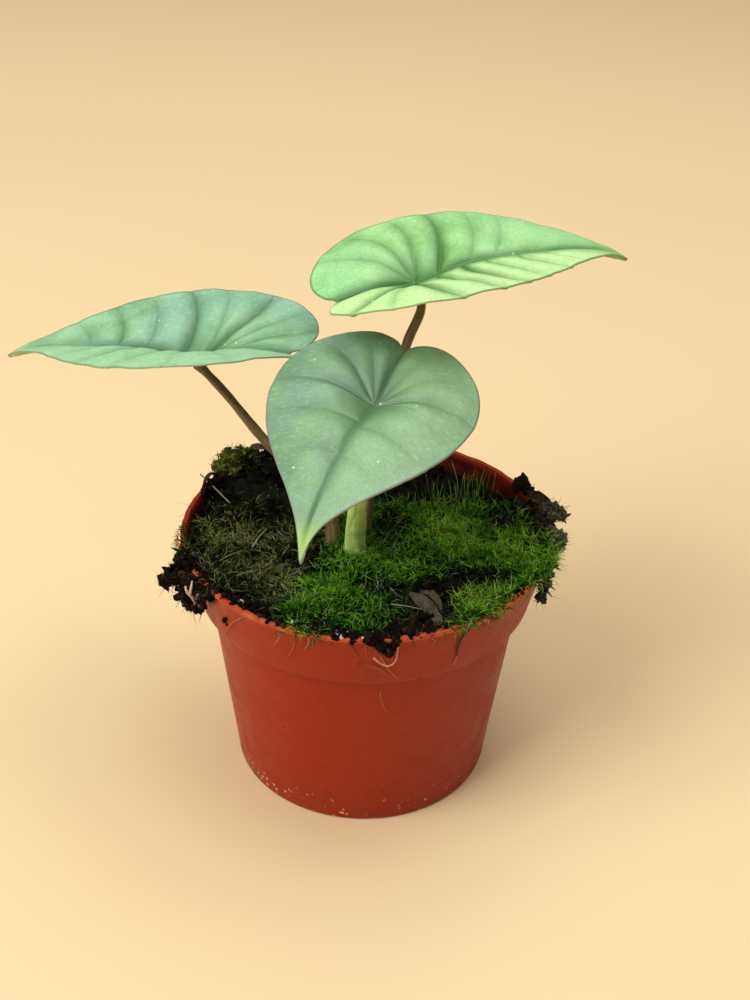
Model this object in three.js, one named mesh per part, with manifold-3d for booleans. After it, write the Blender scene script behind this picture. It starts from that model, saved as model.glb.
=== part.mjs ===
// A young peltate alocasia in a round nursery pot, in millimetres, +Z up.
// The origin is the centre of the pot's foot. X runs to the right and Y away from the viewer.

import * as THREE from "three";
import { mergeVertices } from "three/addons/utils/BufferGeometryUtils.js";
import Module from "manifold-3d";

const wasm = await Module();
wasm.setup();

// Pot
const RIM_RADIUS = 45;
const POT_HEIGHT = 66;
const COLLAR_HEIGHT = 16;
const COLLAR_FOOT_RADIUS = 41;
const WALL_TOP_RADIUS = 38.5;
const BASE_RADIUS = 32.5;
const WALL = 1.1;
const FLOOR_TOP = 2.9;
const BEAD_HEIGHT = 1.4;
const BEAD_PROUD = 0.5;
const BEAD_ROUND = 0.35;
const DRAFT = 0.5;
const FOOT_RING_WIDTH = 3;
const FOOT_RECESS = 1.5;
const CENTRE_PAD_RADIUS = 6;
const DRAIN_COUNT = 6;
const DRAIN_RADIUS = 3;
const DRAIN_CIRCLE = 20;
const POT_SEGMENTS = 48;

// Air between touching pieces
const GAP = 0.3;

// Soil and rootstock
const SOIL_LEVEL = 59.2;
// Height, place and width of each heap and hollow of the soil
const SOIL_HEAPS = [
  [2.6, -35, -15, 14], [4.4, -32, 29, 14], [2, 2, -41, 16], [1.6, 41, -8, 16], [-1.8, 26, 30, 17],
];
const SOIL_DISH = 3.4;
const SOIL_RINGS = 8;
const SOIL_SEGMENTS = 40;
const CROWN = { x: -3.6, y: 0.6, radius: 7.6, hole: 8.9, top: 57.7 };
const STOCK_FOOT = 34;
const ROOT_COUNT = 6;
const ROOT_DEPTH = 10;
const ROOT_REACH = 25;
const ROOT_CURL = 0.5;

// Petioles: points from the crown to just under the blade, and the radii along them
const PETIOLE_FOOT = CROWN.top + GAP;
const PETIOLES = {
  front: {
    points: [[-1.9, -2.6, PETIOLE_FOOT], [-2.3, -4.3, 65], [-1.4, -8.4, 76.5], [0, -14.6, 93]],
    radii: [2.9, 2.8, 2.3, 1.5, 1.2],
    tint: 0x8ea23c,
  },
  left: {
    points: [
      [-7.9, 1.4, PETIOLE_FOOT], [-8.9, 2.8, 67.5], [-16.8, 5.5, 77], [-25.6, 8, 85.8], [-34.4, 11.6, 95.6],
    ],
    radii: [2.1, 1.7, 1.3, 1.1, 1],
    tint: 0x6f5f3c,
  },
  right: {
    points: [[-1.2, 4.4, PETIOLE_FOOT], [0.4, 5.2, 72], [4.2, 7, 92], [8.5, 9, 111.1], [11.6, 11.6, 119.4]],
    radii: [2.1, 1.7, 1.4, 1.2, 1],
    tint: 0x64492f,
  },
};
const SHEATH = {
  points: [[-4.4, -4.2, 60], [-4.6, -5.4, 66], [-4.1, -8.4, 74], [-3, -11, 82]],
  radii: [1.9, 1.4, 1, 0.5],
};

// Half outline of a blade from the tip round to the sinus, as shares of the blade's length with the
// junction at 0, 0
const OUTLINE = [
  [0.7, 0], [0.645, 0.016], [0.575, 0.045], [0.48, 0.105], [0.36, 0.195], [0.22, 0.285], [0.06, 0.345],
  [-0.08, 0.355], [-0.19, 0.31], [-0.265, 0.215], [-0.295, 0.115], [-0.28, 0.04], [-0.245, 0],
];
const BLADE_THICKNESS = 0.8;
const VEINS_PER_SIDE = 8;
const RAYS_PER_VEIN = 3;
const BLADE_RINGS = 8;
const VEIN_BOW = 0.11;
const VEIN_START = 0.07;
const VEIN_SPREAD = 0.94;
const PUFF = 0.8;
const DIMPLE_RADIUS = 0.12;
const FOLD_SOFTNESS = 0.03;
const HOOK_START = 0.45;

// Pose of each blade. Heading, pitch, roll and twist are in degrees. Pairs are for the left and the right
// half seen from the junction: fold is how steeply a half rises from the midrib and crown how it droops to
// its edge. Arch and hook bend the midrib down, heel the lobes, and sickle bends the midrib sideways.
const BLADES = {
  left: {
    junction: [-41.2, 14.5, 103], heading: 163, pitch: -6.6, roll: 1.4, length: 77.6,
    width: [0.98, 0.96], fold: [0.38, 0.3], crown: [0.33, 0.33],
    arch: 0.22, hook: 4.1, heel: 0.14, dimple: 0.043, sickle: -0.11, twist: -14.7, base: 1.2,
    tint: 0x86bf8b,
  },
  right: {
    junction: [10.1, 13.1, 124.9], heading: 18.6, pitch: 10.2, roll: 8.5, length: 77,
    width: [0.99, 1.05], fold: [0.07, 0.44], crown: [0.4, 0],
    arch: 0.47, hook: 5.5, heel: 0.58, dimple: 0.028, sickle: -0.04, twist: 16.6, base: 0.98,
    tint: 0x9bdc86,
  },
  front: {
    junction: [1.1, -20, 110], heading: -116.8, pitch: -19.2, roll: 3.6, length: 62.2,
    width: [0.98, 1.09], fold: [0.04, 0.2], crown: [0.9, 0.43],
    arch: 0.02, hook: 5.2, heel: 0.16, dimple: 0.036, sickle: 0.17, twist: -1, base: 1.04,
    tint: 0x93c49a,
  },
};

// Moss: lattice spacing, mat height over the soil, tuft height, lean and unevenness
const LUSH_MOSS = { spacing: 1.8, mat: 1.5, tuft: 3.6, lean: 1, uneven: 0.35, seed: 5 };
const DRY_MOSS = { spacing: 2.2, mat: 0.9, tuft: 1.8, lean: 1, uneven: 0.5, seed: 11 };
const MOSS_EDGE = 42.6;
const MOSS_SPLIT = { x: -9, y: 2, across: 0.955, along: -0.296, gap: 0.5 };

// Lumps on the rim: bearing in degrees from +X, distance from the axis, height and radius
const SOIL_LUMPS = [
  [192, 41.5, 65.8, 3.8], [198, 43.8, 66.5, 4.6], [202, 46.6, 65.5, 4.6], [206, 48.6, 65.2, 3.6],
  [209, 46.6, 64.2, 4.6], [212, 46.4, 61.4, 3.8], [213, 43.6, 65, 4.2], [265, 44, 65.6, 2.8],
  [272, 44.6, 65, 3], [277, 44.8, 64.2, 3],
];
const RIM_CRUMBS = [
  [-28, 46.9, 62, 2.4], [-24, 45.9, 64.6, 2.8], [-17, 46, 65.4, 3], [-11, 45, 66, 3.1],
  [-5, 46.2, 66.8, 3.1], [1, 44.6, 66.8, 3], [7, 46.6, 67.4, 3], [12, 44.8, 67.2, 2.9],
  [17, 44, 67.6, 2.8], [22, 43.4, 68.6, 2.8], [27, 43.2, 67.4, 2.6],
];
const BACK_TUFT = [[134, 43.8, 67.4, 2.8], [139, 44.4, 68, 3.4], [146, 44.4, 67.4, 3]];
const HOOK_ROOT = [[4.6, -45.6, 66], [7, -46.8, 63], [5.6, -46.6, 60.4], [2.4, -46.2, 60.8]];
const HOOK_ROOT_RADIUS = 0.45;

const degrees = (angle) => THREE.MathUtils.degToRad(angle);
const bump = (x, y, cx, cy, width) => Math.exp(-((x - cx) ** 2 + (y - cy) ** 2) / width ** 2);

// Repeatable random numbers from 0 to 1
function seeded(seed) {
  let state = seed;
  return () => {
    state = (state * 1664525 + 1013904223) % 4294967296;
    return state / 4294967296;
  };
}

// Closed geometry to solid, and back
function solidOf(geometry) {
  const bare = geometry.clone();
  bare.deleteAttribute("normal");
  bare.deleteAttribute("uv");
  const merged = mergeVertices(bare, 1e-4);
  const vertProperties = new Float32Array(merged.attributes.position.array);
  const triVerts = new Uint32Array(merged.index.array);
  return new wasm.Manifold(new wasm.Mesh({ numProp: 3, vertProperties, triVerts }));
}

function geometryOf(solid) {
  const mesh = solid.getMesh();
  const geometry = new THREE.BufferGeometry();
  geometry.setAttribute("position", new THREE.BufferAttribute(mesh.vertProperties, 3));
  geometry.setIndex(new THREE.BufferAttribute(mesh.triVerts, 1));
  return geometry;
}

function union(solids) {
  return solids.reduce((whole, solid) => whole.add(solid));
}

// The main body of a solid, without loose scraps
function mainBody(solid) {
  return solid.decompose().reduce((best, body) => (body.volume() > best.volume() ? body : best));
}

// A solid turned round the Z axis from a closed profile of radius and height
function turned(profile, segments) {
  const points = profile.map(([radius, height]) => new THREE.Vector2(radius, height));
  return new THREE.LatheGeometry(points, segments).rotateX(Math.PI / 2);
}

// A sheet of triangles closed downwards, each vertex getting a lower copy
function closedSheet(positions, faces, lower) {
  const sheet = new THREE.BufferGeometry();
  sheet.setAttribute("position", new THREE.Float32BufferAttribute(positions.flat(), 3));
  sheet.setIndex(faces.flat());
  const welded = mergeVertices(sheet, 1e-4);
  welded.computeVertexNormals();
  const count = welded.attributes.position.count;
  const points = Array.from({ length: count }, (_, i) => {
    return new THREE.Vector3().fromBufferAttribute(welded.attributes.position, i);
  });
  const copies = points.map((point, i) => {
    return lower(point, new THREE.Vector3().fromBufferAttribute(welded.attributes.normal, i));
  });
  const index = welded.index.array;
  const shell = [];
  const open = new Map();
  for (let i = 0; i < index.length; i += 3) {
    const corners = [index[i], index[i + 1], index[i + 2]];
    if (new Set(corners).size < 3) continue;
    shell.push(...corners, ...corners.map((corner) => corner + count).reverse());
    corners.forEach((from, side) => {
      const to = corners[(side + 1) % 3];
      if (!open.delete(`${to} ${from}`)) open.set(`${from} ${to}`, [from, to]);
    });
  }
  for (const [from, to] of open.values()) {
    shell.push(to, from, from + count, to, from + count, to + count);
  }
  const closed = new THREE.BufferGeometry();
  const flat = [...points, ...copies].flatMap((point) => point.toArray());
  closed.setAttribute("position", new THREE.Float32BufferAttribute(flat, 3));
  closed.setIndex(shell);
  return closed;
}

// A round stem along a smooth curve, its radius easing through the given values, with flat ends.
// Foot and seat are the planes that its two ends are cut to.
function stem(points, radii, { sides = 10, steps = 14, foot = null, seat = null } = {}) {
  const path = new THREE.CatmullRomCurve3(points.map((point) => new THREE.Vector3(...point)));
  const frames = path.computeFrenetFrames(steps);
  const ends = { 0: foot, [steps]: seat };
  const positions = [];
  for (let i = 0; i <= steps; i += 1) {
    const plane = ends[i];
    const along = (i / steps) * (radii.length - 1);
    const low = Math.min(Math.floor(along), radii.length - 2);
    const radius = THREE.MathUtils.lerp(radii[low], radii[low + 1], along - low);
    const centre = path.getPointAt(i / steps);
    for (let j = 0; j < sides; j += 1) {
      const angle = (j / sides) * Math.PI * 2;
      const point = centre.clone();
      point.addScaledVector(frames.normals[i], Math.cos(angle) * radius);
      point.addScaledVector(frames.binormals[i], Math.sin(angle) * radius);
      if (plane) {
        const reach = plane.point.clone().sub(point).dot(plane.normal) / frames.tangents[i].dot(plane.normal);
        point.addScaledVector(frames.tangents[i], reach);
      }
      positions.push(...point.toArray());
    }
  }
  const faces = [];
  for (let i = 0; i < steps; i += 1) {
    for (let j = 0; j < sides; j += 1) {
      const next = (j + 1) % sides;
      const [a, b, c, d] = [i * sides + j, i * sides + next, (i + 1) * sides + next, (i + 1) * sides + j];
      faces.push(a, b, c, a, c, d);
    }
  }
  for (let j = 1; j < sides - 1; j += 1) {
    const last = steps * sides;
    faces.push(0, j + 1, j, last, last + j, last + j + 1);
  }
  const geometry = new THREE.BufferGeometry();
  geometry.setAttribute("position", new THREE.Float32BufferAttribute(positions, 3));
  geometry.setIndex(faces);
  return geometry;
}

// A crumb: a ball with an uneven surface
function crumb(radius, seed) {
  const ball = new THREE.IcosahedronGeometry(radius, 1);
  const position = ball.attributes.position;
  const point = new THREE.Vector3();
  for (let i = 0; i < position.count; i += 1) {
    point.fromBufferAttribute(position, i);
    const { x, y, z } = point.clone().normalize().multiplyScalar(3);
    const rough = Math.sin(x * 1.7 + seed) * Math.sin(y * 2.1 + seed * 2) + Math.sin(z * 2.3 - seed) * 0.6;
    point.multiplyScalar(1 + 0.17 * rough);
    position.setXYZ(i, point.x, point.y, point.z);
  }
  return ball;
}

function crumbs(list) {
  return union(
    list.map(([bearing, distance, height, radius], i) => {
      const ball = crumb(radius, i * 1.3 + distance);
      ball.translate(distance * Math.cos(degrees(bearing)), distance * Math.sin(degrees(bearing)), height);
      return solidOf(ball);
    }),
  );
}

// Pot: outer radius of the collar at a height, and the inside of the collar
const COLLAR_FOOT = POT_HEIGHT - COLLAR_HEIGHT;
const BEAD_FOOT = POT_HEIGHT - BEAD_HEIGHT;
const COLLAR_TOP_RADIUS = RIM_RADIUS - BEAD_PROUD;
const collarSlope = (COLLAR_TOP_RADIUS - COLLAR_FOOT_RADIUS) / (BEAD_FOOT - COLLAR_FOOT);
const collarInside = (height) => COLLAR_FOOT_RADIUS - WALL + (height - COLLAR_FOOT) * collarSlope;
const wallInside = (height) => {
  const slope = (WALL_TOP_RADIUS - BASE_RADIUS) / COLLAR_FOOT;
  return BASE_RADIUS - WALL + height * slope;
};

function pot() {
  const ledge = COLLAR_FOOT + WALL;
  const recessOuter = BASE_RADIUS - FOOT_RING_WIDTH;
  const shell = solidOf(
    turned(
      [
        [0, 0], [CENTRE_PAD_RADIUS, 0], [CENTRE_PAD_RADIUS + DRAFT, FOOT_RECESS],
        [recessOuter, FOOT_RECESS], [recessOuter + DRAFT, 0], [BASE_RADIUS, 0],
        [WALL_TOP_RADIUS, COLLAR_FOOT], [COLLAR_FOOT_RADIUS, COLLAR_FOOT],
        [COLLAR_TOP_RADIUS, BEAD_FOOT], [RIM_RADIUS, BEAD_FOOT + BEAD_ROUND],
        [RIM_RADIUS, POT_HEIGHT - BEAD_ROUND], [RIM_RADIUS - BEAD_ROUND, POT_HEIGHT],
        [collarInside(POT_HEIGHT), POT_HEIGHT], [collarInside(ledge), ledge],
        [wallInside(ledge), ledge], [wallInside(FLOOR_TOP), FLOOR_TOP], [0, FLOOR_TOP],
      ],
      POT_SEGMENTS,
    ),
  );
  const drains = Array.from({ length: DRAIN_COUNT }, (_, i) => {
    const bearing = ((i + 0.5) / DRAIN_COUNT) * Math.PI * 2;
    const hole = new THREE.CylinderGeometry(DRAIN_RADIUS, DRAIN_RADIUS, FLOOR_TOP * 3, 10);
    hole.rotateX(Math.PI / 2);
    hole.translate(DRAIN_CIRCLE * Math.cos(bearing), DRAIN_CIRCLE * Math.sin(bearing), FLOOR_TOP / 2);
    return solidOf(hole);
  });
  return shell.subtract(union(drains));
}

// The collar with air all round it, which whatever hangs over the rim is cut back to
function collarWithAir() {
  const air = GAP * 1.2;
  const foot = COLLAR_FOOT - air;
  return solidOf(
    turned(
      [
        [WALL_TOP_RADIUS - WALL - air, foot], [COLLAR_FOOT_RADIUS + air, foot],
        [COLLAR_TOP_RADIUS + air, BEAD_FOOT - air], [RIM_RADIUS + air, BEAD_FOOT - air],
        [RIM_RADIUS + air, POT_HEIGHT + air], [collarInside(POT_HEIGHT) - air, POT_HEIGHT + air],
        [collarInside(COLLAR_FOOT) - air, COLLAR_FOOT], [WALL_TOP_RADIUS - WALL - air, foot],
      ],
      POT_SEGMENTS,
    ),
  );
}

// Height of the bare soil: a shallow dish with heaps at its edge, low at the back right
function soilHeight(x, y) {
  const dish = SOIL_LEVEL + SOIL_DISH * (Math.hypot(x, y) / RIM_RADIUS) ** 4;
  return SOIL_HEAPS.reduce((height, [rise, ...place]) => height + rise * bump(x, y, ...place), dish);
}

function soilFill() {
  const ledge = COLLAR_FOOT + WALL + GAP;
  const floor = FLOOR_TOP + GAP;
  const rings = [];
  for (let ring = 1; ring <= SOIL_RINGS; ring += 1) {
    rings.push((bearing) => {
      const [across, away] = [Math.cos(bearing), Math.sin(bearing)];
      const edge = collarInside(soilHeight(RIM_RADIUS * across, RIM_RADIUS * away)) - GAP;
      const radius = (edge * ring) / SOIL_RINGS;
      return [radius * across, radius * away, soilHeight(radius * across, radius * away)];
    });
  }
  const walls = [
    [collarInside(ledge) - GAP, ledge], [wallInside(ledge) - GAP, ledge], [wallInside(floor) - GAP, floor],
  ];
  for (const [radius, height] of walls) {
    rings.push((bearing) => [radius * Math.cos(bearing), radius * Math.sin(bearing), height]);
  }
  const positions = [0, 0, soilHeight(0, 0)];
  for (const ring of rings) {
    for (let i = 0; i < SOIL_SEGMENTS; i += 1) positions.push(...ring((i / SOIL_SEGMENTS) * Math.PI * 2));
  }
  const bottom = positions.length / 3;
  positions.push(0, 0, floor);
  const at = (ring, i) => 1 + ring * SOIL_SEGMENTS + (i % SOIL_SEGMENTS);
  const faces = [];
  for (let i = 0; i < SOIL_SEGMENTS; i += 1) {
    faces.push(0, at(0, i), at(0, i + 1));
    for (let ring = 0; ring < rings.length - 1; ring += 1) {
      faces.push(at(ring, i), at(ring + 1, i), at(ring + 1, i + 1));
      faces.push(at(ring, i), at(ring + 1, i + 1), at(ring, i + 1));
    }
    faces.push(bottom, at(rings.length - 1, i + 1), at(rings.length - 1, i));
  }
  const geometry = new THREE.BufferGeometry();
  geometry.setAttribute("position", new THREE.Float32BufferAttribute(positions, 3));
  geometry.setIndex(faces);
  return solidOf(geometry);
}

// The short thick stem in the soil and its stout roots, larger all round by the given air
function rootstock(air) {
  const top = CROWN.top + (air > 0 ? 9 : 0);
  const core = turned(
    [
      [0, STOCK_FOOT - air], [3.2 + air, STOCK_FOOT - air], [5.4 + air, STOCK_FOOT + 7], [6.2 + air, 50],
      [CROWN.radius + air, 54], [CROWN.radius + air, top], [0, top],
    ],
    16,
  );
  core.translate(CROWN.x, CROWN.y, 0);
  const roots = Array.from({ length: ROOT_COUNT }, (_, i) => {
    const bearing = (i / ROOT_COUNT) * Math.PI * 2 + 0.4;
    const reach = ROOT_REACH * (1 - 0.12 * (i % 3)) + air;
    const point = (share, height) => {
      const turn = bearing + share * ROOT_CURL;
      return [CROWN.x + reach * share * Math.cos(turn), CROWN.y + reach * share * Math.sin(turn), height];
    };
    const path = [point(0.08, 45), point(0.4, 38), point(0.75, 24), point(1, ROOT_DEPTH + 3 * (i % 2) - air)];
    return solidOf(stem(path, [1.7 + air, 1.2 + air, 0.8 + air], { sides: 5, steps: 4 }));
  });
  return union([solidOf(core), ...roots]);
}

function soil(collar, cavity) {
  const hook = solidOf(stem(HOOK_ROOT, [HOOK_ROOT_RADIUS, HOOK_ROOT_RADIUS], { sides: 5, steps: 7 }));
  const spilled = union([crumbs(SOIL_LUMPS), hook]).subtract(collar);
  return soilFill().add(spilled).subtract(cavity);
}

// Moss: a mat on a lattice of triangles whose every third point stands up as a leaning tuft
function mossMat(moss, inside) {
  const random = seeded(moss.seed);
  const reach = Math.ceil((MOSS_EDGE * 1.3) / moss.spacing);
  const indexOf = new Map();
  const positions = [];
  for (let row = -reach; row <= reach; row += 1) {
    for (let column = -reach * 2; column <= reach * 2; column += 1) {
      const x = moss.spacing * (column + row / 2);
      const y = moss.spacing * row * Math.sqrt(0.75);
      if (!inside(x, y)) continue;
      const tufted = (((column - row) % 3) + 3) % 3 === 0;
      const rise = tufted ? moss.tuft * (0.55 + 0.6 * random()) : moss.uneven * 2 * random();
      const bearing = random() * Math.PI * 2;
      const lean = (tufted ? moss.lean : moss.uneven) * Math.sqrt(random());
      const height = soilHeight(x, y) + moss.mat + rise;
      indexOf.set(`${column} ${row}`, positions.length);
      positions.push([x + lean * Math.cos(bearing), y + lean * Math.sin(bearing), height]);
    }
  }
  const faces = [];
  const add = (...cells) => {
    const corners = cells.map(([column, row]) => indexOf.get(`${column} ${row}`));
    if (!corners.includes(undefined)) faces.push(corners);
  };
  for (let row = -reach; row <= reach; row += 1) {
    for (let column = -reach * 2; column <= reach * 2; column += 1) {
      add([column, row], [column + 1, row], [column, row + 1]);
      add([column + 1, row], [column + 1, row + 1], [column, row + 1]);
    }
  }
  const depth = SOIL_LEVEL - 4;
  return solidOf(closedSheet(positions, faces, (point) => new THREE.Vector3(point.x, point.y, depth)));
}

// Side of the line between the lush and the dry moss, positive on the lush side
const mossSide = (x, y) => (x - MOSS_SPLIT.x) * MOSS_SPLIT.across + (y - MOSS_SPLIT.y) * MOSS_SPLIT.along;

function lushRegion(x, y) {
  const rim = MOSS_EDGE - Math.hypot(x, y) - 2.6 * bump(x, y, 44, -4, 20);
  const back = 20 - y - 0.008 * (x - 18) ** 2;
  return Math.min(rim, back, mossSide(x, y) - MOSS_SPLIT.gap) > 0;
}

function dryRegion(x, y) {
  const rim = MOSS_EDGE - 1.5 - Math.hypot(x, y);
  const back = 33 - y;
  return Math.min(rim, back, -mossSide(x, y) - MOSS_SPLIT.gap) > 0;
}

// Point on one half of a blade's outline at a share of the way from the tip to the sinus
const outlineCurve = new THREE.CatmullRomCurve3(OUTLINE.map(([u, v]) => new THREE.Vector3(u, v, 0)));
function outlinePoint(share, blade, side) {
  const { x, y } = outlineCurve.getPointAt(share);
  return [x < 0 ? x * blade.base : x, Math.max(y, 0) * blade.width[side]];
}

// Point and slope of the bent midrib at a distance along it
function midrib(blade, distance) {
  const steps = 24;
  const slopeAt = (u) => {
    const ahead = -blade.arch * u - blade.hook * Math.max(u - HOOK_START, 0) ** 2;
    return u > 0 ? ahead : -blade.heel * u;
  };
  let [x, z] = [0, 0];
  for (let i = 0; i < steps; i += 1) {
    const slope = slopeAt((distance * (i + 0.5)) / steps);
    x += (Math.cos(slope) * distance) / steps;
    z += (Math.sin(slope) * distance) / steps;
  }
  return { x, z, slope: slopeAt(distance) };
}

// Height of the flat blade's point over the midrib's curve, before the puffs
function foldHeight(blade, u, v, side) {
  const fold = blade.fold[side] * (Math.hypot(v, FOLD_SOFTNESS) - FOLD_SOFTNESS);
  const dimple = blade.dimple * (1 - Math.exp(-((Math.hypot(u, v) / DIMPLE_RADIUS) ** 2)));
  return fold - blade.crown[side] * v * v + dimple;
}

function bladePoint(blade, u, v, side, puff) {
  const spine = midrib(blade, u);
  const height = foldHeight(blade, u, v, side) + puff / blade.length;
  const x = spine.x - height * Math.sin(spine.slope);
  const rise = height * Math.cos(spine.slope);
  const twist = degrees(blade.twist) * u;
  const across = side === 0 ? v : -v;
  const y = across * Math.cos(twist) - rise * Math.sin(twist) + blade.sickle * Math.max(u, 0) ** 2;
  const z = across * Math.sin(twist) + rise * Math.cos(twist) + spine.z;
  return new THREE.Vector3(x, y, z).multiplyScalar(blade.length).applyMatrix4(bladePose(blade));
}

function bladePose(blade) {
  const turn = new THREE.Matrix4().makeRotationZ(degrees(blade.heading));
  turn.multiply(new THREE.Matrix4().makeRotationY(-degrees(blade.pitch)));
  turn.multiply(new THREE.Matrix4().makeRotationX(degrees(blade.roll)));
  return turn.setPosition(...blade.junction);
}

// A leaf blade. Rays run from the midrib to the outline, every third one along a vein, and the blade puffs
// up between the veins.
function bladeGeometry(blade) {
  const rays = VEINS_PER_SIDE * RAYS_PER_VEIN;
  const positions = [];
  const faces = [];
  for (const side of [0, 1]) {
    const first = positions.length;
    for (let ray = 0; ray <= rays; ray += 1) {
      const [edgeU, edgeV] = outlinePoint(ray / rays, blade, side);
      const footU = VEIN_SPREAD * Math.max(edgeU - VEIN_START, 0);
      const chord = Math.hypot(edgeU - footU, edgeV);
      const between = Math.sin((Math.PI * (ray % RAYS_PER_VEIN)) / RAYS_PER_VEIN);
      for (let ring = 0; ring <= BLADE_RINGS; ring += 1) {
        const out = ring / BLADE_RINGS;
        const bow = VEIN_BOW * chord * 4 * out * (1 - out);
        const u = footU + (edgeU - footU) * out - bow;
        const puff = PUFF * between * Math.sin(Math.PI * out ** 0.8);
        positions.push(bladePoint(blade, u, edgeV * out, side, puff).toArray());
      }
    }
    for (let ray = 0; ray < rays; ray += 1) {
      for (let ring = 0; ring < BLADE_RINGS; ring += 1) {
        const a = first + ray * (BLADE_RINGS + 1) + ring;
        const b = a + BLADE_RINGS + 1;
        const pair = [[a, b, b + 1], [a, b + 1, a + 1]];
        faces.push(...(side === 1 ? pair : pair.map((face) => face.reverse())));
      }
    }
  }
  const under = (point, normal) => point.clone().addScaledVector(normal, -BLADE_THICKNESS);
  return closedSheet(positions, faces, under);
}

// The plane under a blade's junction that its petiole ends at
function seatUnder(blade) {
  const point = bladePoint(blade, 0, 0, 0, 0);
  const ahead = bladePoint(blade, 0.03, 0, 0, 0).sub(bladePoint(blade, -0.03, 0, 0, 0));
  const across = bladePoint(blade, 0, 0.03, 0, 0).sub(bladePoint(blade, 0, 0.03, 1, 0));
  const normal = ahead.cross(across).normalize();
  point.addScaledVector(normal, -BLADE_THICKNESS - GAP);
  return { point, normal };
}

function petiole(name) {
  const { points, radii } = PETIOLES[name];
  const foot = { point: new THREE.Vector3(...points[0]), normal: new THREE.Vector3(0, 0, 1) };
  const seat = seatUnder(BLADES[name]);
  return stem([...points, seat.point.toArray()], radii, { foot, seat });
}

function frontPetiole() {
  const sheath = solidOf(stem(SHEATH.points, SHEATH.radii, { sides: 8, steps: 8 }));
  return solidOf(petiole("front")).add(sheath);
}

function material(color, roughness) {
  return new THREE.MeshStandardMaterial({ color, roughness, metalness: 0 });
}

const plant = new THREE.Group();
function place(name, shape, color, roughness) {
  const geometry = shape.isBufferGeometry ? shape : geometryOf(shape);
  const mesh = new THREE.Mesh(geometry, material(color, roughness));
  mesh.name = name;
  plant.add(mesh);
}

const collar = collarWithAir();
const earth = soil(collar, rootstock(GAP));
const earthWithAir = earth.translate([0, 0, GAP * 1.2]).add(earth);
const hole = new THREE.CylinderGeometry(CROWN.hole, CROWN.hole, POT_HEIGHT, 20).rotateX(Math.PI / 2);
const crownHole = solidOf(hole.translate(CROWN.x, CROWN.y, POT_HEIGHT));
const settled = (moss) => mainBody(moss.subtract(collar).subtract(earthWithAir));

place("pot", pot(), 0xa8462a, 0.5);
place("potting_soil", earth, 0x241b15, 1);
place("rootstock", rootstock(0), 0x8a6a48, 0.8);
place("moss_lush", settled(mossMat(LUSH_MOSS, lushRegion).subtract(crownHole)), 0x4f7d1e, 0.9);
place("moss_dry", settled(mossMat(DRY_MOSS, dryRegion).subtract(crownHole)), 0x4c5228, 0.95);
place("moss_tuft_back_left", settled(crumbs(BACK_TUFT)), 0x7d7a2c, 0.9);
place("crumbs_right_rim", settled(crumbs(RIM_CRUMBS)), 0x4d4a30, 0.95);
place("petiole_front", frontPetiole(), PETIOLES.front.tint, 0.45);
place("petiole_left", petiole("left"), PETIOLES.left.tint, 0.5);
place("petiole_right", petiole("right"), PETIOLES.right.tint, 0.5);
for (const [name, blade] of Object.entries(BLADES)) {
  place(`blade_${name}`, bladeGeometry(blade), blade.tint, 0.5);
}

export default plant;
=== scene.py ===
import itertools
import math

import bmesh
import bpy
import numpy as np
from mathutils import Matrix


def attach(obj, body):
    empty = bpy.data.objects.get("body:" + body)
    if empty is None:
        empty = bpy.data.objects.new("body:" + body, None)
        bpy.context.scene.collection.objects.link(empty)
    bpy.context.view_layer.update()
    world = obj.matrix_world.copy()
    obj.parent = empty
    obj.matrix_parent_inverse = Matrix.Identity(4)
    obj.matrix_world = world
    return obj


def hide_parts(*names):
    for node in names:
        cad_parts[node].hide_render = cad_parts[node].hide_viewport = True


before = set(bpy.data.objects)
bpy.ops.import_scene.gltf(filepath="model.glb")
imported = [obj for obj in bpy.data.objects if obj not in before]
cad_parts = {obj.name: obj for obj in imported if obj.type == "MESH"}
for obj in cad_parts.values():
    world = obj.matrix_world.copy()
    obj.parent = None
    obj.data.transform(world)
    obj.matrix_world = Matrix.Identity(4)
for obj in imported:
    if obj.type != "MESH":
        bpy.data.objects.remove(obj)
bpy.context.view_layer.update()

# A young peltate alocasia in a round nursery pot. Lengths are in millimetres and become metres in
# make_mesh. The origin is the centre of the pot's foot. X runs to the right and Y away from the viewer.
MM = 0.001

# Camera
LENS = 50
SENSOR = 36
CAMERA_PLACE = (0, -284.1, 250.5)
CAMERA_TURN = -0.4
CAMERA_PITCH = -31.9
CAMERA_ROLL = 1.5

# Pot
RIM_RADIUS = 45
POT_HEIGHT = 66
COLLAR_HEIGHT = 16
COLLAR_FOOT_RADIUS = 41
WALL_TOP_RADIUS = 38.5
BASE_RADIUS = 32.5
WALL = 1.1
FLOOR_TOP = 2.9
BEAD_HEIGHT = 1.4
BEAD_PROUD = 0.5
DRAFT = 0.5
FOOT_RING_WIDTH = 3
FOOT_RECESS = 1.5
CENTRE_PAD_RADIUS = 6
DRAIN_COUNT = 6
DRAIN_RADIUS = 3
DRAIN_CIRCLE = 20
POT_SEGMENTS = 168
# How deep the lip is worn at its edge and on top, and how far the wall wavers
LIP_WEAR = 0.22
LIP_DIPS = 0.3
WALL_WAVER = 0.06

COLLAR_FOOT = POT_HEIGHT - COLLAR_HEIGHT
BEAD_FOOT = POT_HEIGHT - BEAD_HEIGHT
COLLAR_TOP_RADIUS = RIM_RADIUS - BEAD_PROUD
COLLAR_SLOPE = (COLLAR_TOP_RADIUS - COLLAR_FOOT_RADIUS) / (BEAD_FOOT - COLLAR_FOOT)
WALL_SLOPE = (WALL_TOP_RADIUS - BASE_RADIUS) / COLLAR_FOOT

# Soil: its level in the middle, how much higher it stands at the rim, and its gap to the pot
SOIL_LEVEL = 59.2
SOIL_DISH = 3.4
SOIL_GAP = 0.3
SOIL_SIDES = 220
SOIL_RINGS = 64
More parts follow.
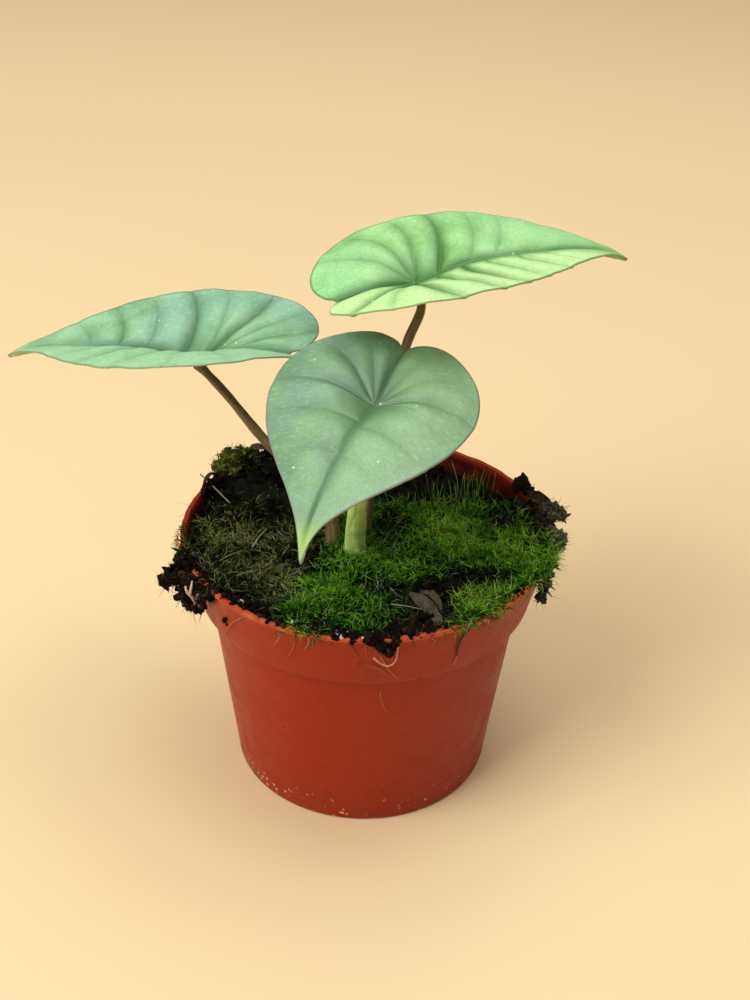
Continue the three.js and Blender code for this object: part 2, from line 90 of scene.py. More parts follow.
# Height, place and width of each heap and hollow of the soil
SOIL_HEAPS = [
    (2.6, -35, -15, 14), (4.4, -32, 29, 14), (2, 2, -41, 16), (1.6, 41, -8, 16), (-1.8, 26, 30, 17),
]

# Place and radius of each lump: of the clump that hangs over the left rim, of the old moss on the right
# rim and of the tuft at the back left. The spill in front has bearing, distance, height and radius.
LEFT_CLUMP = [
    (-42.4, -15.6, 65.2, 1.7), (-42.8, -18, 65, 2.4), (-44.2, -20.8, 64.8, 2.1),
    (-45.8, -22.4, 64.4, 1.2), (-41.8, -22, 64.2, 2.6), (-40.4, -24.4, 62.2, 2.2),
    (-38.6, -25.6, 60, 1.7), (-38.6, -24.8, 64.6, 2.2), (-43.2, -12.4, 65, 1.1),
    (-35.4, -27.4, 64.6, 1.6), (-39.8, -18.6, 64.8, 2), (-40.6, -25.6, 60.6, 1.2),
]
RED_SOIL = [
    (-38.8, -26.4, 62.6, 1.3), (-38, -26.6, 60.8, 1.1), (-37.4, -27, 63.8, 1.1), (-40, -25.4, 63, 1.1),
]
SPILLED_SOIL = [
    (254, 43.6, 65.8, 0.9), (262, 43.7, 65.9, 1), (267, 44, 65.8, 1.2), (272, 44.4, 65.4, 1.3),
    (275, 44.8, 64.4, 1.5), (277, 44.9, 63.2, 1.3), (279, 44.3, 65.6, 1.3), (284, 43.7, 66, 1),
    (290, 43.4, 66, 0.8),
]
RIGHT_LUMPS = [
    (39.6, 20.4, 66.8, 1), (41.2, 17.4, 67, 1.1), (43, 14, 66.8, 1.1), (44.6, 10.8, 66.6, 1.2),
    (44.6, 3.4, 66.6, 1.6), (43, 6, 65.6, 1.7), (43.2, 0.6, 66, 1.8), (43, -3.4, 65.6, 1.8),
    (44, -8.8, 65.6, 1.5), (44.4, -12.6, 65, 1.1), (42.8, -17, 65, 1.2), (41.9, -20.2, 63.6, 1.5),
    (41, -21.8, 61.6, 1.2), (40.6, 10, 64.8, 1.6), (39, 14, 64.4, 1.4),
]
OLIVE_LUMPS = [(44.8, 7.8, 67.4, 1.5), (46.4, 7, 67.8, 1.8), (48, 5.8, 67.2, 1.4), (46, 5.2, 67, 1.4)]
LICHEN_LUMPS = [
    (44.8, -2.6, 67, 1.5), (46.8, -4.6, 67, 1.7), (46.6, -6.8, 66.2, 1.4), (45, -5.6, 66.4, 1.4),
]
BACK_LUMPS = [
    (-37.6, 25.2, 66.8, 2.6), (-35.6, 28, 67.6, 3), (-33.4, 30, 67.4, 2.8), (-30.8, 31.4, 66.8, 2.2),
    (-35, 26, 65.6, 2.8),
]
# Scraps of dead leaf: tone, half widths, a direction across, and points along them
SCRAPS = [
    (0.12, (1.2, 2.6, 1.8, 0.3), (1, -0.8, 0),
     [(37.4, 19.6, 65.6), (39, 17.6, 68), (39.4, 16.8, 70.4), (39.1, 16.6, 72.4)]),
    (0.2, (0.6, 1.6, 1.5, 0.4), (0.6, 0.6, 1),
     [(41.2, 15.6, 67), (43.2, 12.4, 67.6), (45.4, 9.6, 67.2), (47, 8.2, 66.4)]),
    (0.3, (0.8, 1.8, 1.7, 0.6), (0.3, 1, 0.5),
     [(42.2, -15.6, 66.4), (41.9, -18.4, 66), (41.3, -20.8, 63.6), (40.6, -22.4, 61)]),
    (0.52, (0.4, 1.4, 1.5, 1.1, 0.2), (0.9, 0.4, 0.9),
     [(10.4, -22.4, 62.4), (12.8, -26, 63.2), (15, -29.6, 63.4), (18.4, -37.2, 62.6)]),
    (0.45, (0.3, 0.9, 0.8, 0.2), (1, 0.6, 0.7),
     [(13, -22.6, 63), (15.4, -24.8, 64), (17, -28, 63.6), (17.4, -31, 62.8)]),
    (0.5, (0.4, 1.1, 0.9, 0.3), (0.5, 1, 0.3),
     [(-31.6, 30, 68.6), (-30, 31, 69.6), (-27.8, 31.8, 69.4), (-26, 32.6, 68.2)]),
    (0.15, (0.3, 1, 0.9, 0.3), (0.4, -1, 0.4),
     [(-38.6, 22, 66.8), (-40, 20, 67.8), (-41, 17.6, 67.4), (-41.6, 15.4, 66.2)]),
]
# Dry straws that lie on the moss: thickness and points
STRAWS = [
    (0.24, [(-42.9, 22.2, 66.4), (-39, 17.2, 65.8), (-34.4, 11.6, 64.6)]),
    (0.18, [(-27.1, -7.9, 64.6), (-25.8, -4.3, 65.1), (-24.2, -0.3, 64.8)]),
    (0.08, [(-34, -16, 66), (-31.4, -13.8, 66.4), (-28.6, -11.4, 66)]),
    (0.08, [(-29.6, -22, 66), (-27.4, -20.5, 66), (-25, -18.8, 65.4)]),
    (0.12, [(6, -31, 65.4), (9.6, -32.4, 66), (13, -32.4, 65.2)]),
]
# Places and widths of dark crumbly patches in the moss, and bearings, distances and heights of beads of
# perlite
DARK_PATCHES = [
    (15, -17, 5), (24, -17, 4), (33, -15, 3), (12, -30, 4), (34, 8, 3), (8, -39, 4), (-12, -38, 4),
    (20, -36, 4), (-30, -28, 4), (-14, -6, 4), (-24, -32, 4), (-32, 8, 5),
]
BEADS = [
    (262.4, 43.6, 66.2), (263.8, 44.2, 65.9), (265.2, 43.4, 66.3), (269.8, 44.4, 66), (247, 40.5, 64.6),
    (285, 41, 64), (311, 38, 63), (228, 41.5, 65),
]
# Tones past 1, which make beads and straws pale all over
WHITE_TONE = 1.6
STRAW_TONE = 1.2
# Bearing, height and radius of crumbs that stick to the outside of the collar
STUCK_CRUMBS = [(222.5, 58.6, 0.8), (223.4, 59.4, 0.6), (221.8, 57.8, 0.5), (222.6, 57.2, 0.4)]
# Crumbs on the soil stay within an edge. Crumbs on the rim lie in a band and between two heights. Then
# bearings between which they lie, and how many.
CRUMB_EDGE = 42.4
RIM_BAND = (42.8, 44.7)
RIM_LEVELS = (65.4, 66.8)
RIM_DIRT = [(116, 163, 170), (205, 262, 60), (262, 296, 90), (318, 345, 30), (345, 390, 40)]
# Rootlets that lie on the collar: thickness, tone, and bearing, height and stand-off of points along them
POT_ROOTLETS = [
    (0.13, 0.6, [(250.4, 65.6, 0.4), (250, 62.4), (248.6, 59), (246.6, 56.2)]),
    (0.16, 0.75, [(252.2, 66.2, -0.6), (254.2, 65.7), (254.4, 63.4), (253, 60.8)]),
    (0.14, 0.3, [(266, 65, 0.4), (267, 63.1), (268, 61.6), (268.8, 60.2)]),
    (0.12, 0.55, [(270.4, 64.6), (270.7, 62.2), (271.4, 59.8)]),
    (0.15, 0.65, [(275, 60.8, 0.8), (275.4, 59.7), (277.5, 56.1), (280.9, 52)]),
    (0.12, 0.6, [(272.9, 57.2), (275.7, 55.5), (277.6, 53.1)]),
    (0.11, 0.6, [(276, 46), (276.9, 42.5), (278.7, 39.2)]),
    (0.14, 0.62, [(235, 66.2, -0.4), (231.6, 63.5), (227, 60), (223.5, 56.5), (217.2, 51)]),
    (0.42, 0.05,
     [(301.4, 66.4, -1.2), (300.4, 65, 0.5), (299.5, 62.5, 0.5), (299.1, 59.2, 0.4), (299.6, 56, 0.3)]),
    (0.16, 0.6, [(299.6, 56, 0.3), (299.4, 54.4), (299.1, 52.8)]),
    (0.12, 0.6, [(289, 65.2, 0.6), (290.4, 63.6), (290, 62)]),
]
# Roots in the air: thickness, tone and points
FREE_ROOTS = [
    (0.24, 0.7,
     [(2.2, -45.6, 61.6), (3.8, -46.2, 60.6), (5.6, -46.6, 60.2), (7, -46.6, 61.6), (7.6, -45.6, 64.7)]),
    (0.5, 0.9, [(-38.6, -26.6, 60.4), (-39.2, -27, 63), (-40.4, -27.4, 65), (-40.8, -26.6, 66)]),
    (0.4, 0.95, [(-39.8, -27.4, 64.4), (-39.4, -27.2, 66.2), (-39.2, -26.4, 67.4)]),
    (0.4, 0.6, [(-43.4, -15, 69), (-44.2, -14, 69.8), (-44.8, -13.2, 69.4)]),
    (0.5, 0.75, [(-46.4, -22.4, 65), (-47.2, -22.4, 64), (-47.6, -22.4, 63)]),
]

# Petioles: points from the crown to the blade, and the radii along them
PETIOLES = {
    "front": {
        "points": [(-1.9, -2.6, 58), (-2.3, -4.3, 65), (-2.2, -8.4, 76.5), (-0.4, -14.6, 93)],
        "radii": [2.3, 2.3, 2, 1.5, 1.2],
    },
    "left": {
        "points": [
            (-7.9, 1.4, 58), (-8.9, 2.8, 67.5), (-16.8, 5.5, 77), (-25.6, 8, 85.8), (-34.4, 11.6, 95.6),
        ],
        "radii": [2.1, 1.7, 1.3, 1.1, 1],
    },
    "right": {
        "points": [(-1.2, 4.4, 58), (0.4, 5.2, 72), (4.2, 7, 92), (8.5, 9, 111.1), (11.6, 11.6, 119.4)],
        "radii": [2.1, 1.7, 1.4, 1.2, 1],
    },
}
SHEATH_POINTS = [(-2.7, -5.2, 58.5), (-2.9, -6.4, 66), (-2.9, -9.4, 74), (-2.2, -12.6, 82)]

# Half outline of a blade from the tip round to the sinus, as shares of the blade's length with the
# junction at 0, 0
OUTLINE = [
    (0.7, 0), (0.645, 0.016), (0.575, 0.045), (0.48, 0.105), (0.36, 0.195), (0.22, 0.285), (0.06, 0.345),
    (-0.08, 0.355), (-0.19, 0.31), (-0.265, 0.215), (-0.295, 0.115), (-0.28, 0.04), (-0.245, 0),
]
BLADE_THICKNESS = 0.7
MARGIN_THICKNESS = 0.35
VEINS_PER_SIDE = 8
RAYS_PER_SECTOR = 7
BLADE_RINGS = 56
# Shares of the blade's length
VEIN_START = 0.07
VEIN_SPREAD = 0.94
DIMPLE_RADIUS = 0.12
FOLD_SOFTNESS = 0.03
HOOK_START = 0.45
# The blade puffs up between veins, and a vein lies in a trough whose width is given in sectors
PUFF = 1.3
VEIN_DEPTH = 0.45
VEIN_TROUGH = 0.34
# Side veins of each blade's two halves: where each ends, in sectors from the tip to the seam, and its
# strength. The line at the tip and the seam behind the junction are the first and the last.
VEINS = {
    "left": (
        [(0, 1), (1, 0.25), (2, 0.4), (3, 0.6), (4, 0.3), (5, 0.2), (6, 0.2), (8, 1)],
        [(0, 1), (1.55, 0.75), (2.35, 0.95), (3.1, 0.5), (3.85, 1), (4.55, 0.35), (5.35, 0.95), (6.2, 0.4),
         (7, 0.6), (8, 1)],
    ),
    "right": (
        [(0, 1), (1.5, 0.25), (2.5, 0.45), (3.1, 0.4), (3.8, 1), (4.5, 0.5), (5.4, 0.5), (6.3, 0.4),
         (8, 1)],
        [(0, 1), (1.3, 0.55), (1.95, 0.95), (2.75, 0.7), (3.3, 1), (3.85, 0.75), (4.6, 1), (5.7, 0.35),
         (6.5, 0.95), (8, 1)],
    ),
    "front": (
        [(0, 1), (1.4, 0.3), (2.3, 0.35), (3.4, 0.6), (4.2, 0.35), (5, 0.9), (6, 0.25), (7, 0.3), (8, 1)],
        [(0, 1), (1.4, 0.2), (2.4, 0.35), (3.6, 0.6), (4.6, 0.95), (6, 0.6), (7, 0.4), (8, 1)],
    ),
}

# Pose of each blade. Heading, pitch, roll and twist are in degrees. Pairs are for the left and the right
# half seen from the junction: fold is how steeply a half rises from the midrib, crown how it droops to
# its edge, and bow how its veins bend. Arch and hook bend the midrib down, heel bends the lobes, and
# sickle bends the midrib sideways. Base stretches the lobes, and sunny is the half with a painted
# highlight.
BLADES = {
    "left": {
        "junction": (-41.2, 14.5, 103), "heading": 163, "pitch": -6.6, "roll": 1.4, "length": 77.6,
        "width": (0.98, 0.96), "fold": (0.38, 0.3), "crown": (0.33, 0.33),
        "arch": 0.22, "hook": 4.1, "heel": 0.14, "dimple": 0.043, "sickle": -0.11, "twist": -14.7,
        "base": 1.2, "bow": (0.02, 0.13), "sunny": 0,
    },
    "right": {
        "junction": (10.1, 13.1, 124.9), "heading": 18.6, "pitch": 10.2, "roll": 8.5, "length": 77,
        "width": (0.99, 1.05), "fold": (0.07, 0.44), "crown": (0.4, 0),
        "arch": 0.47, "hook": 5.5, "heel": 0.58, "dimple": 0.028, "sickle": -0.04, "twist": 16.6,
        "base": 0.98, "bow": (-0.08, 0.06), "sunny": 1,
    },
    "front": {
        "junction": (1.1, -20, 110), "heading": -116.8, "pitch": -19.2, "roll": 3.6, "length": 62.2,
        "width": (0.98, 1.09), "fold": (0.04, 0.2), "crown": (0.9, 0.43),
        "arch": 0.02, "hook": 5.2, "heel": 0.16, "dimple": 0.036, "sickle": 0.17, "twist": -1,
        "base": 1.04, "bow": (0.07, 0.09), "sunny": 0,
    },
}

# Moss: how far it reaches, and the line between the lush and the dry moss, which both stay off it a little
MOSS_EDGE = 42.6
MOSS_SPLIT = {"x": -9, "y": 2, "across": 0.955, "along": -0.296}
SPLIT_MARGIN = 0.5
# Depth, place and width of bays in the edge of the lush moss, and the curve where it ends at the back
MOSS_BAYS = [(2.6, 44, -4, 20), (3, 4, -44, 11)]
LUSH_BACK = {"x": 18, "y": 20, "curve": 0.008}
DRY_BACK = 33
DRY_MARGIN = 1.5
# Sheets: spacing of their points, height over the soil, height of their bumps, and depth of their backs
SHEET_SPACING = 0.8
SHEET_LIFT = 0.3
SHEET_BUMPS = 1.2
SHEET_DEPTH = 4
# Strands stand a little over the soil, and where they spread over the lip they are sunk into it
MOSS_LIFT = 0.5
MOSS_SINK = 0.3
LIP_WIDTH = 1.9
# Light and dark spots in the colour of the moss: gain, which is negative where it is dark, place and width
LUSH_SPOTS = [
    (0.24, -8, -23, 6), (0.38, 28, -27, 6), (0.26, 20, 6, 9), (0.42, 39, -5, 6), (0.2, 8, -12, 7),
    (0.08, 2, -33, 5), (0.24, 27, -4, 5), (0.1, -2, -28, 4), (0.2, 36, -12, 4), (-0.55, 15, -17, 5),
    (-0.6, 24, -17, 5), (-0.5, 33, -17, 4), (-0.6, 13, -31, 6), (-0.5, 34, 8, 5), (-0.6, 8, -40, 6),
    (-0.4, 6, 6, 6), (-0.45, -12, -38, 6), (-0.45, 20, -38, 5), (-0.3, 14, -6, 4), (-0.25, 0, -16, 4),
    (-0.5, 6, -21.5, 4.5), (-0.5, 17, -23, 5),
]
# The wide dark spots at the back left, round -30, 20 and -20, 25, are painted shade under the leaves, and
# they thin the moss there too
DRY_SPOTS = [
    (0.4, -31, -3, 4), (0.42, -24, -17, 4), (0.25, -23, -2, 4), (0.34, -15, -24, 5), (-0.5, -30, 20, 13),
    (0.2, -36, 6, 5), (-0.4, -28, -30, 7), (-0.45, -14, -6, 4), (-0.5, -20, 25, 9), (-0.35, -38, -12, 5),
    (-0.35, -27, -9, 3), (-0.3, -20, -10, 3), (0.25, -18, 4, 4),
]
# Light and dark spots of the moss that hangs over the right rim, and of the stalks at the back
RIM_SPOTS = [(0.25, 40, -15, 12)]
STALK_SPOTS = [(0.25, 22, 16, 10)]
# Tufts round the foot of the plant, and of fruiting stalks at the back
CROWN_TUFTS = [
    (-2, -7), (1.6, -6), (-5.2, -5.8), (0, -8), (2.4, -2), (-6.4, -2), (-4, -8.4), (-2, -9), (1, -9.4),
    (-5.6, -8), (3.4, -5), (-3, -10.4),
]
STALK_TUFTS = [(17, 16), (20, 18), (24, 19), (27, 17.5), (31, 16), (22, 14)]
# Tufts on the rim: seed, bearings, distances and number
LUSH_RIM = [
    (31, (-30, -6), (42, 45.6), 26), (32, (-66, -46), (42, 44.6), 14), (33, (250, 257), (42.5, 44.8), 4),
]
DRY_RIM = [(34, (184, 198), (42.6, 44.8), 8), (35, (112, 140), (41, 43.6), 16)]
# Looks of moss. Tone is its colour, and mixed and patchy say how much that varies between strands and
# between tufts. Mound and girth are the height and width of a tuft. Fan and stray turn the strands outwards
# and about, sag and curl bend them, and dead is the share of pale ones. No strand stands past the edge.
LUSH_LOOK = {
    "tone": 0.56, "mound": 2.2, "girth": 0.95, "fan": 0.5, "stray": 0.26, "length": (1.8, 4.6),
    "width": (0.09, 0.15), "sag": 0.5, "mixed": 0.2, "patchy": 0.2, "dead": 0.03, "rings": 3, "curl": 0.34,
    "edge": 43.3,
}
LOW_LOOK = LUSH_LOOK | {
    "tone": 0.2, "mound": 0, "girth": 1.4, "fan": 0.7, "length": (1.2, 3), "patchy": 0.12, "rings": 2,
    "curl": 0,
}
CROWN_LOOK = LUSH_LOOK | {"length": (2, 5)}
RIM_LOOK = LUSH_LOOK | {"fan": 0.9, "length": (1.6, 4), "sag": 0.8, "edge": 46}
STALK_LOOK = LUSH_LOOK | {
    "girth": 2.2, "fan": 0.1, "stray": 0.06, "length": (7, 11.5), "width": (0.1, 0.14), "sag": 0.1,
    "dead": 0.12, "rings": 6, "curl": 0.06,
}
# Grey threads and dead strands that lie over the moss
THREAD_LOOK = {
    "tone": 0.5, "mound": 0.5, "girth": 2.5, "fan": 0.8, "stray": 0.9, "length": (2.4, 6.5),
    "width": (0.07, 0.13), "sag": 0.5, "mixed": 0.1, "patchy": 0.25, "dead": 0.3, "rings": 4, "curl": 0.3,
    "edge": 43.2,
}
DRY_THREAD_LOOK = THREAD_LOOK | {"dead": 0.14}
DRY_LOOK = THREAD_LOOK | {
    "mound": 2, "girth": 0.95, "stray": 0.5, "length": (1.2, 3.6), "width": (0.08, 0.15), "mixed": 0.2,
    "patchy": 0.26, "dead": 0.03, "rings": 3, "edge": 42.8,
}
DRY_RIM_LOOK = DRY_LOOK | {"length": (0.8, 2.6), "edge": 45.4}

# Colours by tone, from the darkest
SOIL_STOPS = [(0.25, "#060504"), (0.5, "#110c09"), (0.7, "#241911"), (0.88, "#4c3626"), (1.0, "#d2cbbb")]
ROOTLET_STOPS = [
    (0.0, "#1c110c"), (0.3, "#54301d"), (0.55, "#b5603c"), (0.75, "#cf9278"), (1.0, "#cfc3b0"),
]
LITTER_STOPS = [
    (0.2, "#17110c"), (0.4, "#3b2a1e"), (0.55, "#5f5442"), (0.7, "#7f8466"), (0.85, "#a3a184"),
    (1.0, "#c9c4b4"),
]
CRUMB_STOPS = [
    (0.2, "#0c0b07"), (0.45, "#25231a"), (0.62, "#4c4a36"), (0.8, "#7d7a5c"), (1.0, "#a39b84"),
]
TUFT_STOPS = [
    (0.2, "#1a1c08"), (0.4, "#3c4412"), (0.6, "#6b7a22"), (0.8, "#8d9a34"), (1.0, "#a9a95a"),
]
LUSH_STOPS = [
    (0.0, "#0c1a04"), (0.25, "#1f5008"), (0.5, "#40900b"), (0.72, "#76c814"), (0.9, "#a8e62c"),
    (0.97, "#bdea4e"), (1.0, "#b8c4ac"),
]
DRY_STOPS = [
    (0.0, "#0a0e04"), (0.3, "#22300c"), (0.55, "#4c661a"), (0.75, "#80a034"), (0.9, "#b0c05c"),
    (0.97, "#b5ab82"), (1.0, "#c2c4b8"),
]
# Colours of the leaves
LEAF_TINTS = {
    "front": {
        "pale": "#80ab7f", "deep": "#6b9370", "cool": "#7a9f8e", "lit_tint": "#8ab388", "vein": "#557a52",
        "dark": "#4f7450", "tip": "#a9cd68", "edge": "#7f8288", "under": "#9db27c", "point": "#b9cf62",
        "bright": "#98c392",
    },
    "left": {
        "pale": "#99cf9f", "deep": "#79b084", "cool": "#90c2ad", "lit_tint": "#a0d8a6", "vein": "#3f6f4a",
        "dark": "#35683f", "tip": "#93c98a", "edge": "#5f7468", "under": "#a9b585", "point": "#4b3a28",
        "bright": "#aadfa8",
    },
    "right": {
        "pale": "#a7e295", "deep": "#86c876", "cool": "#9cdc9c", "lit_tint": "#d2ffb0", "vein": "#3f7a38",
        "dark": "#38722c", "tip": "#9dd486", "edge": "#4f7f4f", "under": "#9dba6c", "point": "#8f9aa0",
        "bright": "#b4e69c",
    },
}
# How dark the veins and the painted shade of their troughs are drawn
LEAF_SHADE = {"front": 0.55, "left": 0.95, "right": 1.0}

# Lights: name, place, size, power and tint of each
LAMPS = [
    ("key", (-1050, -700, 1300), 1100, 25, (1, 0.97, 0.92)),
    ("top", (150, 200, 1500), 1100, 12, (1, 0.98, 0.95)),
]


# Numbers

def bump(x, y, centre_x, centre_y, width):
    return np.exp(-((x - centre_x) ** 2 + (y - centre_y) ** 2) / width**2)


def bell(distance, width):
    return np.exp(-((distance / width) ** 2))


def polar(bearing, distance):
    angle = np.radians(bearing)
    return distance * np.cos(angle), distance * np.sin(angle)


def linear(code):
    """Scene colour of a hex colour code."""
    shares = [int(code[i : i + 2], 16) / 255 for i in (1, 3, 5)]
    return tuple(c / 12.92 if c <= 0.04045 else ((c + 0.055) / 1.055) ** 2.4 for c in shares)


def lattice_value(cells, seed):
    """Repeatable value from 0 to 1 for each whole-numbered cell."""
    mixed = cells @ np.array([374761393, 668265263, 1442695041]) + seed * 97463477
    mixed = ((mixed ^ (mixed >> 13)) * 1274126177) & 0xFFFFFFFF
    return ((mixed ^ (mixed >> 16)) & 0xFFFF) / 65535


def smooth_noise(points, size, seed):
    """Noise from -1 to 1 with features of one size."""
    place = points / size
    cell = np.floor(place).astype(np.int64)
    part = place - cell
    part = part * part * (3 - 2 * part)
    total = np.zeros(len(points))
    for corner in itertools.product((0, 1), repeat=3):
        weight = np.prod(np.where(corner, part, 1 - part), axis=1)
        total += weight * lattice_value(cell + np.array(corner), seed)
    return total * 2 - 1


def rough_noise(points, size, seed, octaves=3):
    """Noise with finer and finer features laid over each other."""
    return sum(smooth_noise(points, size / 2**k, seed + k) / 2**k for k in range(octaves))


def smooth_path(points, count):
    """Points spread evenly along a centripetal Catmull-Rom curve through the given points."""
    given = np.array(points, float)
    given = np.vstack([2 * given[0] - given[1], given, 2 * given[-1] - given[-2]])
    fine = []
    for a, b, c, d in zip(given, given[1:], given[2:], given[3:]):
        t1 = np.linalg.norm(b - a) ** 0.5
        t2 = t1 + np.linalg.norm(c - b) ** 0.5
        t3 = t2 + np.linalg.norm(d - c) ** 0.5
        t = np.linspace(t1, t2, 60, endpoint=False)[:, None]
        ab = (t1 - t) / t1 * a + t / t1 * b
        bc = (t2 - t) / (t2 - t1) * b + (t - t1) / (t2 - t1) * c
        cd = (t3 - t) / (t3 - t2) * c + (t - t2) / (t3 - t2) * d
        abc = (t2 - t) / t2 * ab + t / t2 * bc
        bcd = (t3 - t) / (t3 - t1) * bc + (t - t1) / (t3 - t1) * cd
        fine.append((t2 - t) / (t2 - t1) * abc + (t - t1) / (t2 - t1) * bcd)
    fine = np.vstack([*fine, given[-2:-1]])
    length = np.concatenate([[0], np.cumsum(np.linalg.norm(np.diff(fine, axis=0), axis=1))])
    even = np.linspace(0, length[-1], count)
    return np.column_stack([np.interp(even, length, fine[:, k]) for k in range(given.shape[1])])


def unit(vectors):
    return vectors / np.maximum(np.linalg.norm(vectors, axis=-1, keepdims=True), 1e-9)


def circle(sides):
    """Angles of points spread evenly round a circle."""
    return np.arange(sides) / sides * 2 * math.pi


def any_turn(random):
    """A random rotation."""
    turn = np.linalg.qr(random.normal(size=(3, 3)))[0]
    if np.linalg.det(turn) < 0:
        turn[:, 0] *= -1
    return turn


# Meshes

def make_mesh(name, points, faces, values=None):
    """A smooth mesh from points in millimetres, arrays of faces, and named values for its points."""
    groups = faces if isinstance(faces, list) else [faces]
    corners = np.concatenate([group.ravel() for group in groups]).astype(np.int32)
    sizes = np.concatenate([np.full(len(group), group.shape[1]) for group in groups])
    starts = np.concatenate([[0], np.cumsum(sizes)[:-1]]).astype(np.int32)
    mesh = bpy.data.meshes.new(name)
    mesh.vertices.add(len(points))
    mesh.vertices.foreach_set("co", (points * MM).astype(np.float32).ravel())
    mesh.loops.add(len(corners))
    mesh.loops.foreach_set("vertex_index", corners)
    mesh.polygons.add(len(sizes))
    mesh.polygons.foreach_set("loop_start", starts)
    mesh.update(calc_edges=True)
    mesh.validate()
    for key, numbers in (values or {}).items():
        attribute = mesh.attributes.new(key, "FLOAT", "POINT")
        attribute.data.foreach_set("value", numbers.astype(np.float32))
    mesh.shade_smooth()
    return mesh


def add_piece(mesh, material, replaces=()):
    """A visible piece that rides on the part's one body."""
    piece = bpy.data.objects.new(mesh.name, mesh)
    bpy.context.scene.collection.objects.link(piece)
    mesh.materials.append(material)
    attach(piece, "root")
    if replaces:
        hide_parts(*replaces)
    return piece


class Heap:
    """Collects closed shapes that go into one piece."""

    def __init__(self):
        self.points, self.faces, self.tones, self.tips, self.count = [], [], [], [], 0

    def add(self, points, faces, tone=0.5, tip=0.0):
        self.points.append(points)
        self.faces.append(faces + self.count)
        self.tones.append(np.broadcast_to(tone, len(points)))
        self.tips.append(np.broadcast_to(tip, len(points)))
        self.count += len(points)

    def piece(self, name, material, slot, replaces=()):
        values = {"tone": np.concatenate(self.tones), "tip": np.concatenate(self.tips)}
        add_piece(make_mesh(name, np.vstack(self.points), self.faces, values), material, replaces)


def ring_faces(rings, sides, close=True):
    """Quads between rings of points, each ring with the same number of sides."""
    ring, side = np.mgrid[: rings - 1, : sides if close else sides - 1]
    here, after = ring * sides + side, ring * sides + (side + 1) % sides
    return np.stack([here, after, after + sides, here + sides], axis=-1).reshape(-1, 4)


def fan(centre, start, sides, flip=False):
    """Triangles between a point and the ring of points that starts at an index."""
    side = np.arange(sides)
    after = (side + 1) % sides
    first, second = (side, after) if flip else (after, side)
    return np.column_stack([np.full(sides, centre), start + first, start + second])


def split_quads(quads):
    return np.vstack([quads[:, [0, 1, 2]], quads[:, [0, 2, 3]]])


def frames_along(path):
    """Two directions across a path at each of its points, without twist."""
    ahead = unit(np.gradient(path, axis=0))
    across = [unit(np.cross(ahead[0], (0.31, 0.93, 0.2)))]
    for direction in ahead[1:]:
        last = across[-1]
        across.append(unit(last - direction * np.dot(last, direction)))
    across = np.array(across)
    return across, np.cross(ahead, across)


def tube_faces(rings, sides):
    """Triangles of a closed tube of rings of points."""
    corner = np.arange(1, sides - 1)
    last = (rings - 1) * sides
    foot = np.column_stack([np.zeros_like(corner), corner + 1, corner])
    head = np.column_stack([np.full_like(corner, last), last + corner, last + corner + 1])
    return np.vstack([split_quads(ring_faces(rings, sides)), foot, head])


def spokes(across, upward, angles):
    """Directions at angles round each of several axes, from two directions across it."""
    cosines, sines = np.cos(angles)[None, :, None], np.sin(angles)[None, :, None]
    return cosines * across[:, None] + sines * upward[:, None]


def tube(path, radii, sides):
    """Points and triangles of a closed tube along a path, with a radius for each point."""
    ring = spokes(*frames_along(path), circle(sides))
    return (path[:, None] + ring * radii[:, None, None]).reshape(-1, 3), tube_faces(len(path), sides)


def strands(heap, feet, ahead, lengths, widths, bend, tones, rings, curl, random):
    """Adds many thin three-sided strands, each from its foot along its direction, bending towards bend."""
    count = len(feet)
    across = unit(np.cross(ahead, (0.37, 0.21, 0.9)))
    other = np.cross(ahead, across)
    ring = spokes(across, other, circle(3))
    if curl:
        turn = random.uniform(0, 2 * math.pi, count)[:, None]
        swerve = across * np.cos(turn) + other * np.sin(turn)
    points, tips = [], []
    for step in np.arange(rings + 1) / rings:
        place = feet + lengths[:, None] * (ahead * step + bend * step**2)
        if curl:
            place = place + swerve * (curl * lengths * math.sin(step * math.pi * 1.3) * step)[:, None]
        place = place[:, None]
        if step < 1:
            place = place + ring * (widths * (1 - 0.55 * step))[:, None, None]
        points.append(place)
        tips.append(np.full(place.shape[:2], step))
    per = 3 * rings + 1
    top = per - 4
    cone = [(top, top + 1, top + 3), (top + 1, top + 2, top + 3), (top + 2, top, top + 3)]
    one = np.vstack([split_quads(ring_faces(rings, 3)), cone, [(0, 2, 1)]])
    faces = (one[None] + np.arange(count)[:, None, None] * per).reshape(-1, 3)
    all_points = np.concatenate(points, axis=1).reshape(-1, 3)
    heap.add(all_points, faces, np.repeat(tones, per), np.concatenate(tips, axis=1).ravel())


def ball(subdivisions):
    """Points and triangles of a ball of radius 1."""
    shape = bmesh.new()
    bmesh.ops.create_icosphere(shape, subdivisions=subdivisions, radius=1)
    points = np.array([vertex.co for vertex in shape.verts])
    faces = np.array([[vertex.index for vertex in face.verts] for face in shape.faces])
    shape.free()
    return points, faces


def crumbs(heap, centres, radii, tones, random, subdivisions=2):
    """Adds rough little lumps, each turned and squeezed its own way."""
    points, faces = ball(subdivisions)
    for centre, radius, tone in zip(centres, radii, tones):
        squeeze = random.uniform(0.6, 1.25, 3)
        turn = any_turn(random)
        rough = 1 + 0.3 * rough_noise(points + centre, 0.8, 3, 2)
        heap.add((points * rough[:, None] * squeeze) @ turn.T * radius + centre, faces, tone)


def sprinkle(heap, places, sizes, tones, random):
    """Adds small crumbs with sizes and tones drawn from two ranges."""
    count = len(places)
    crumbs(heap, places, random.uniform(*sizes, count), random.uniform(*tones, count), random, 1)


# Materials

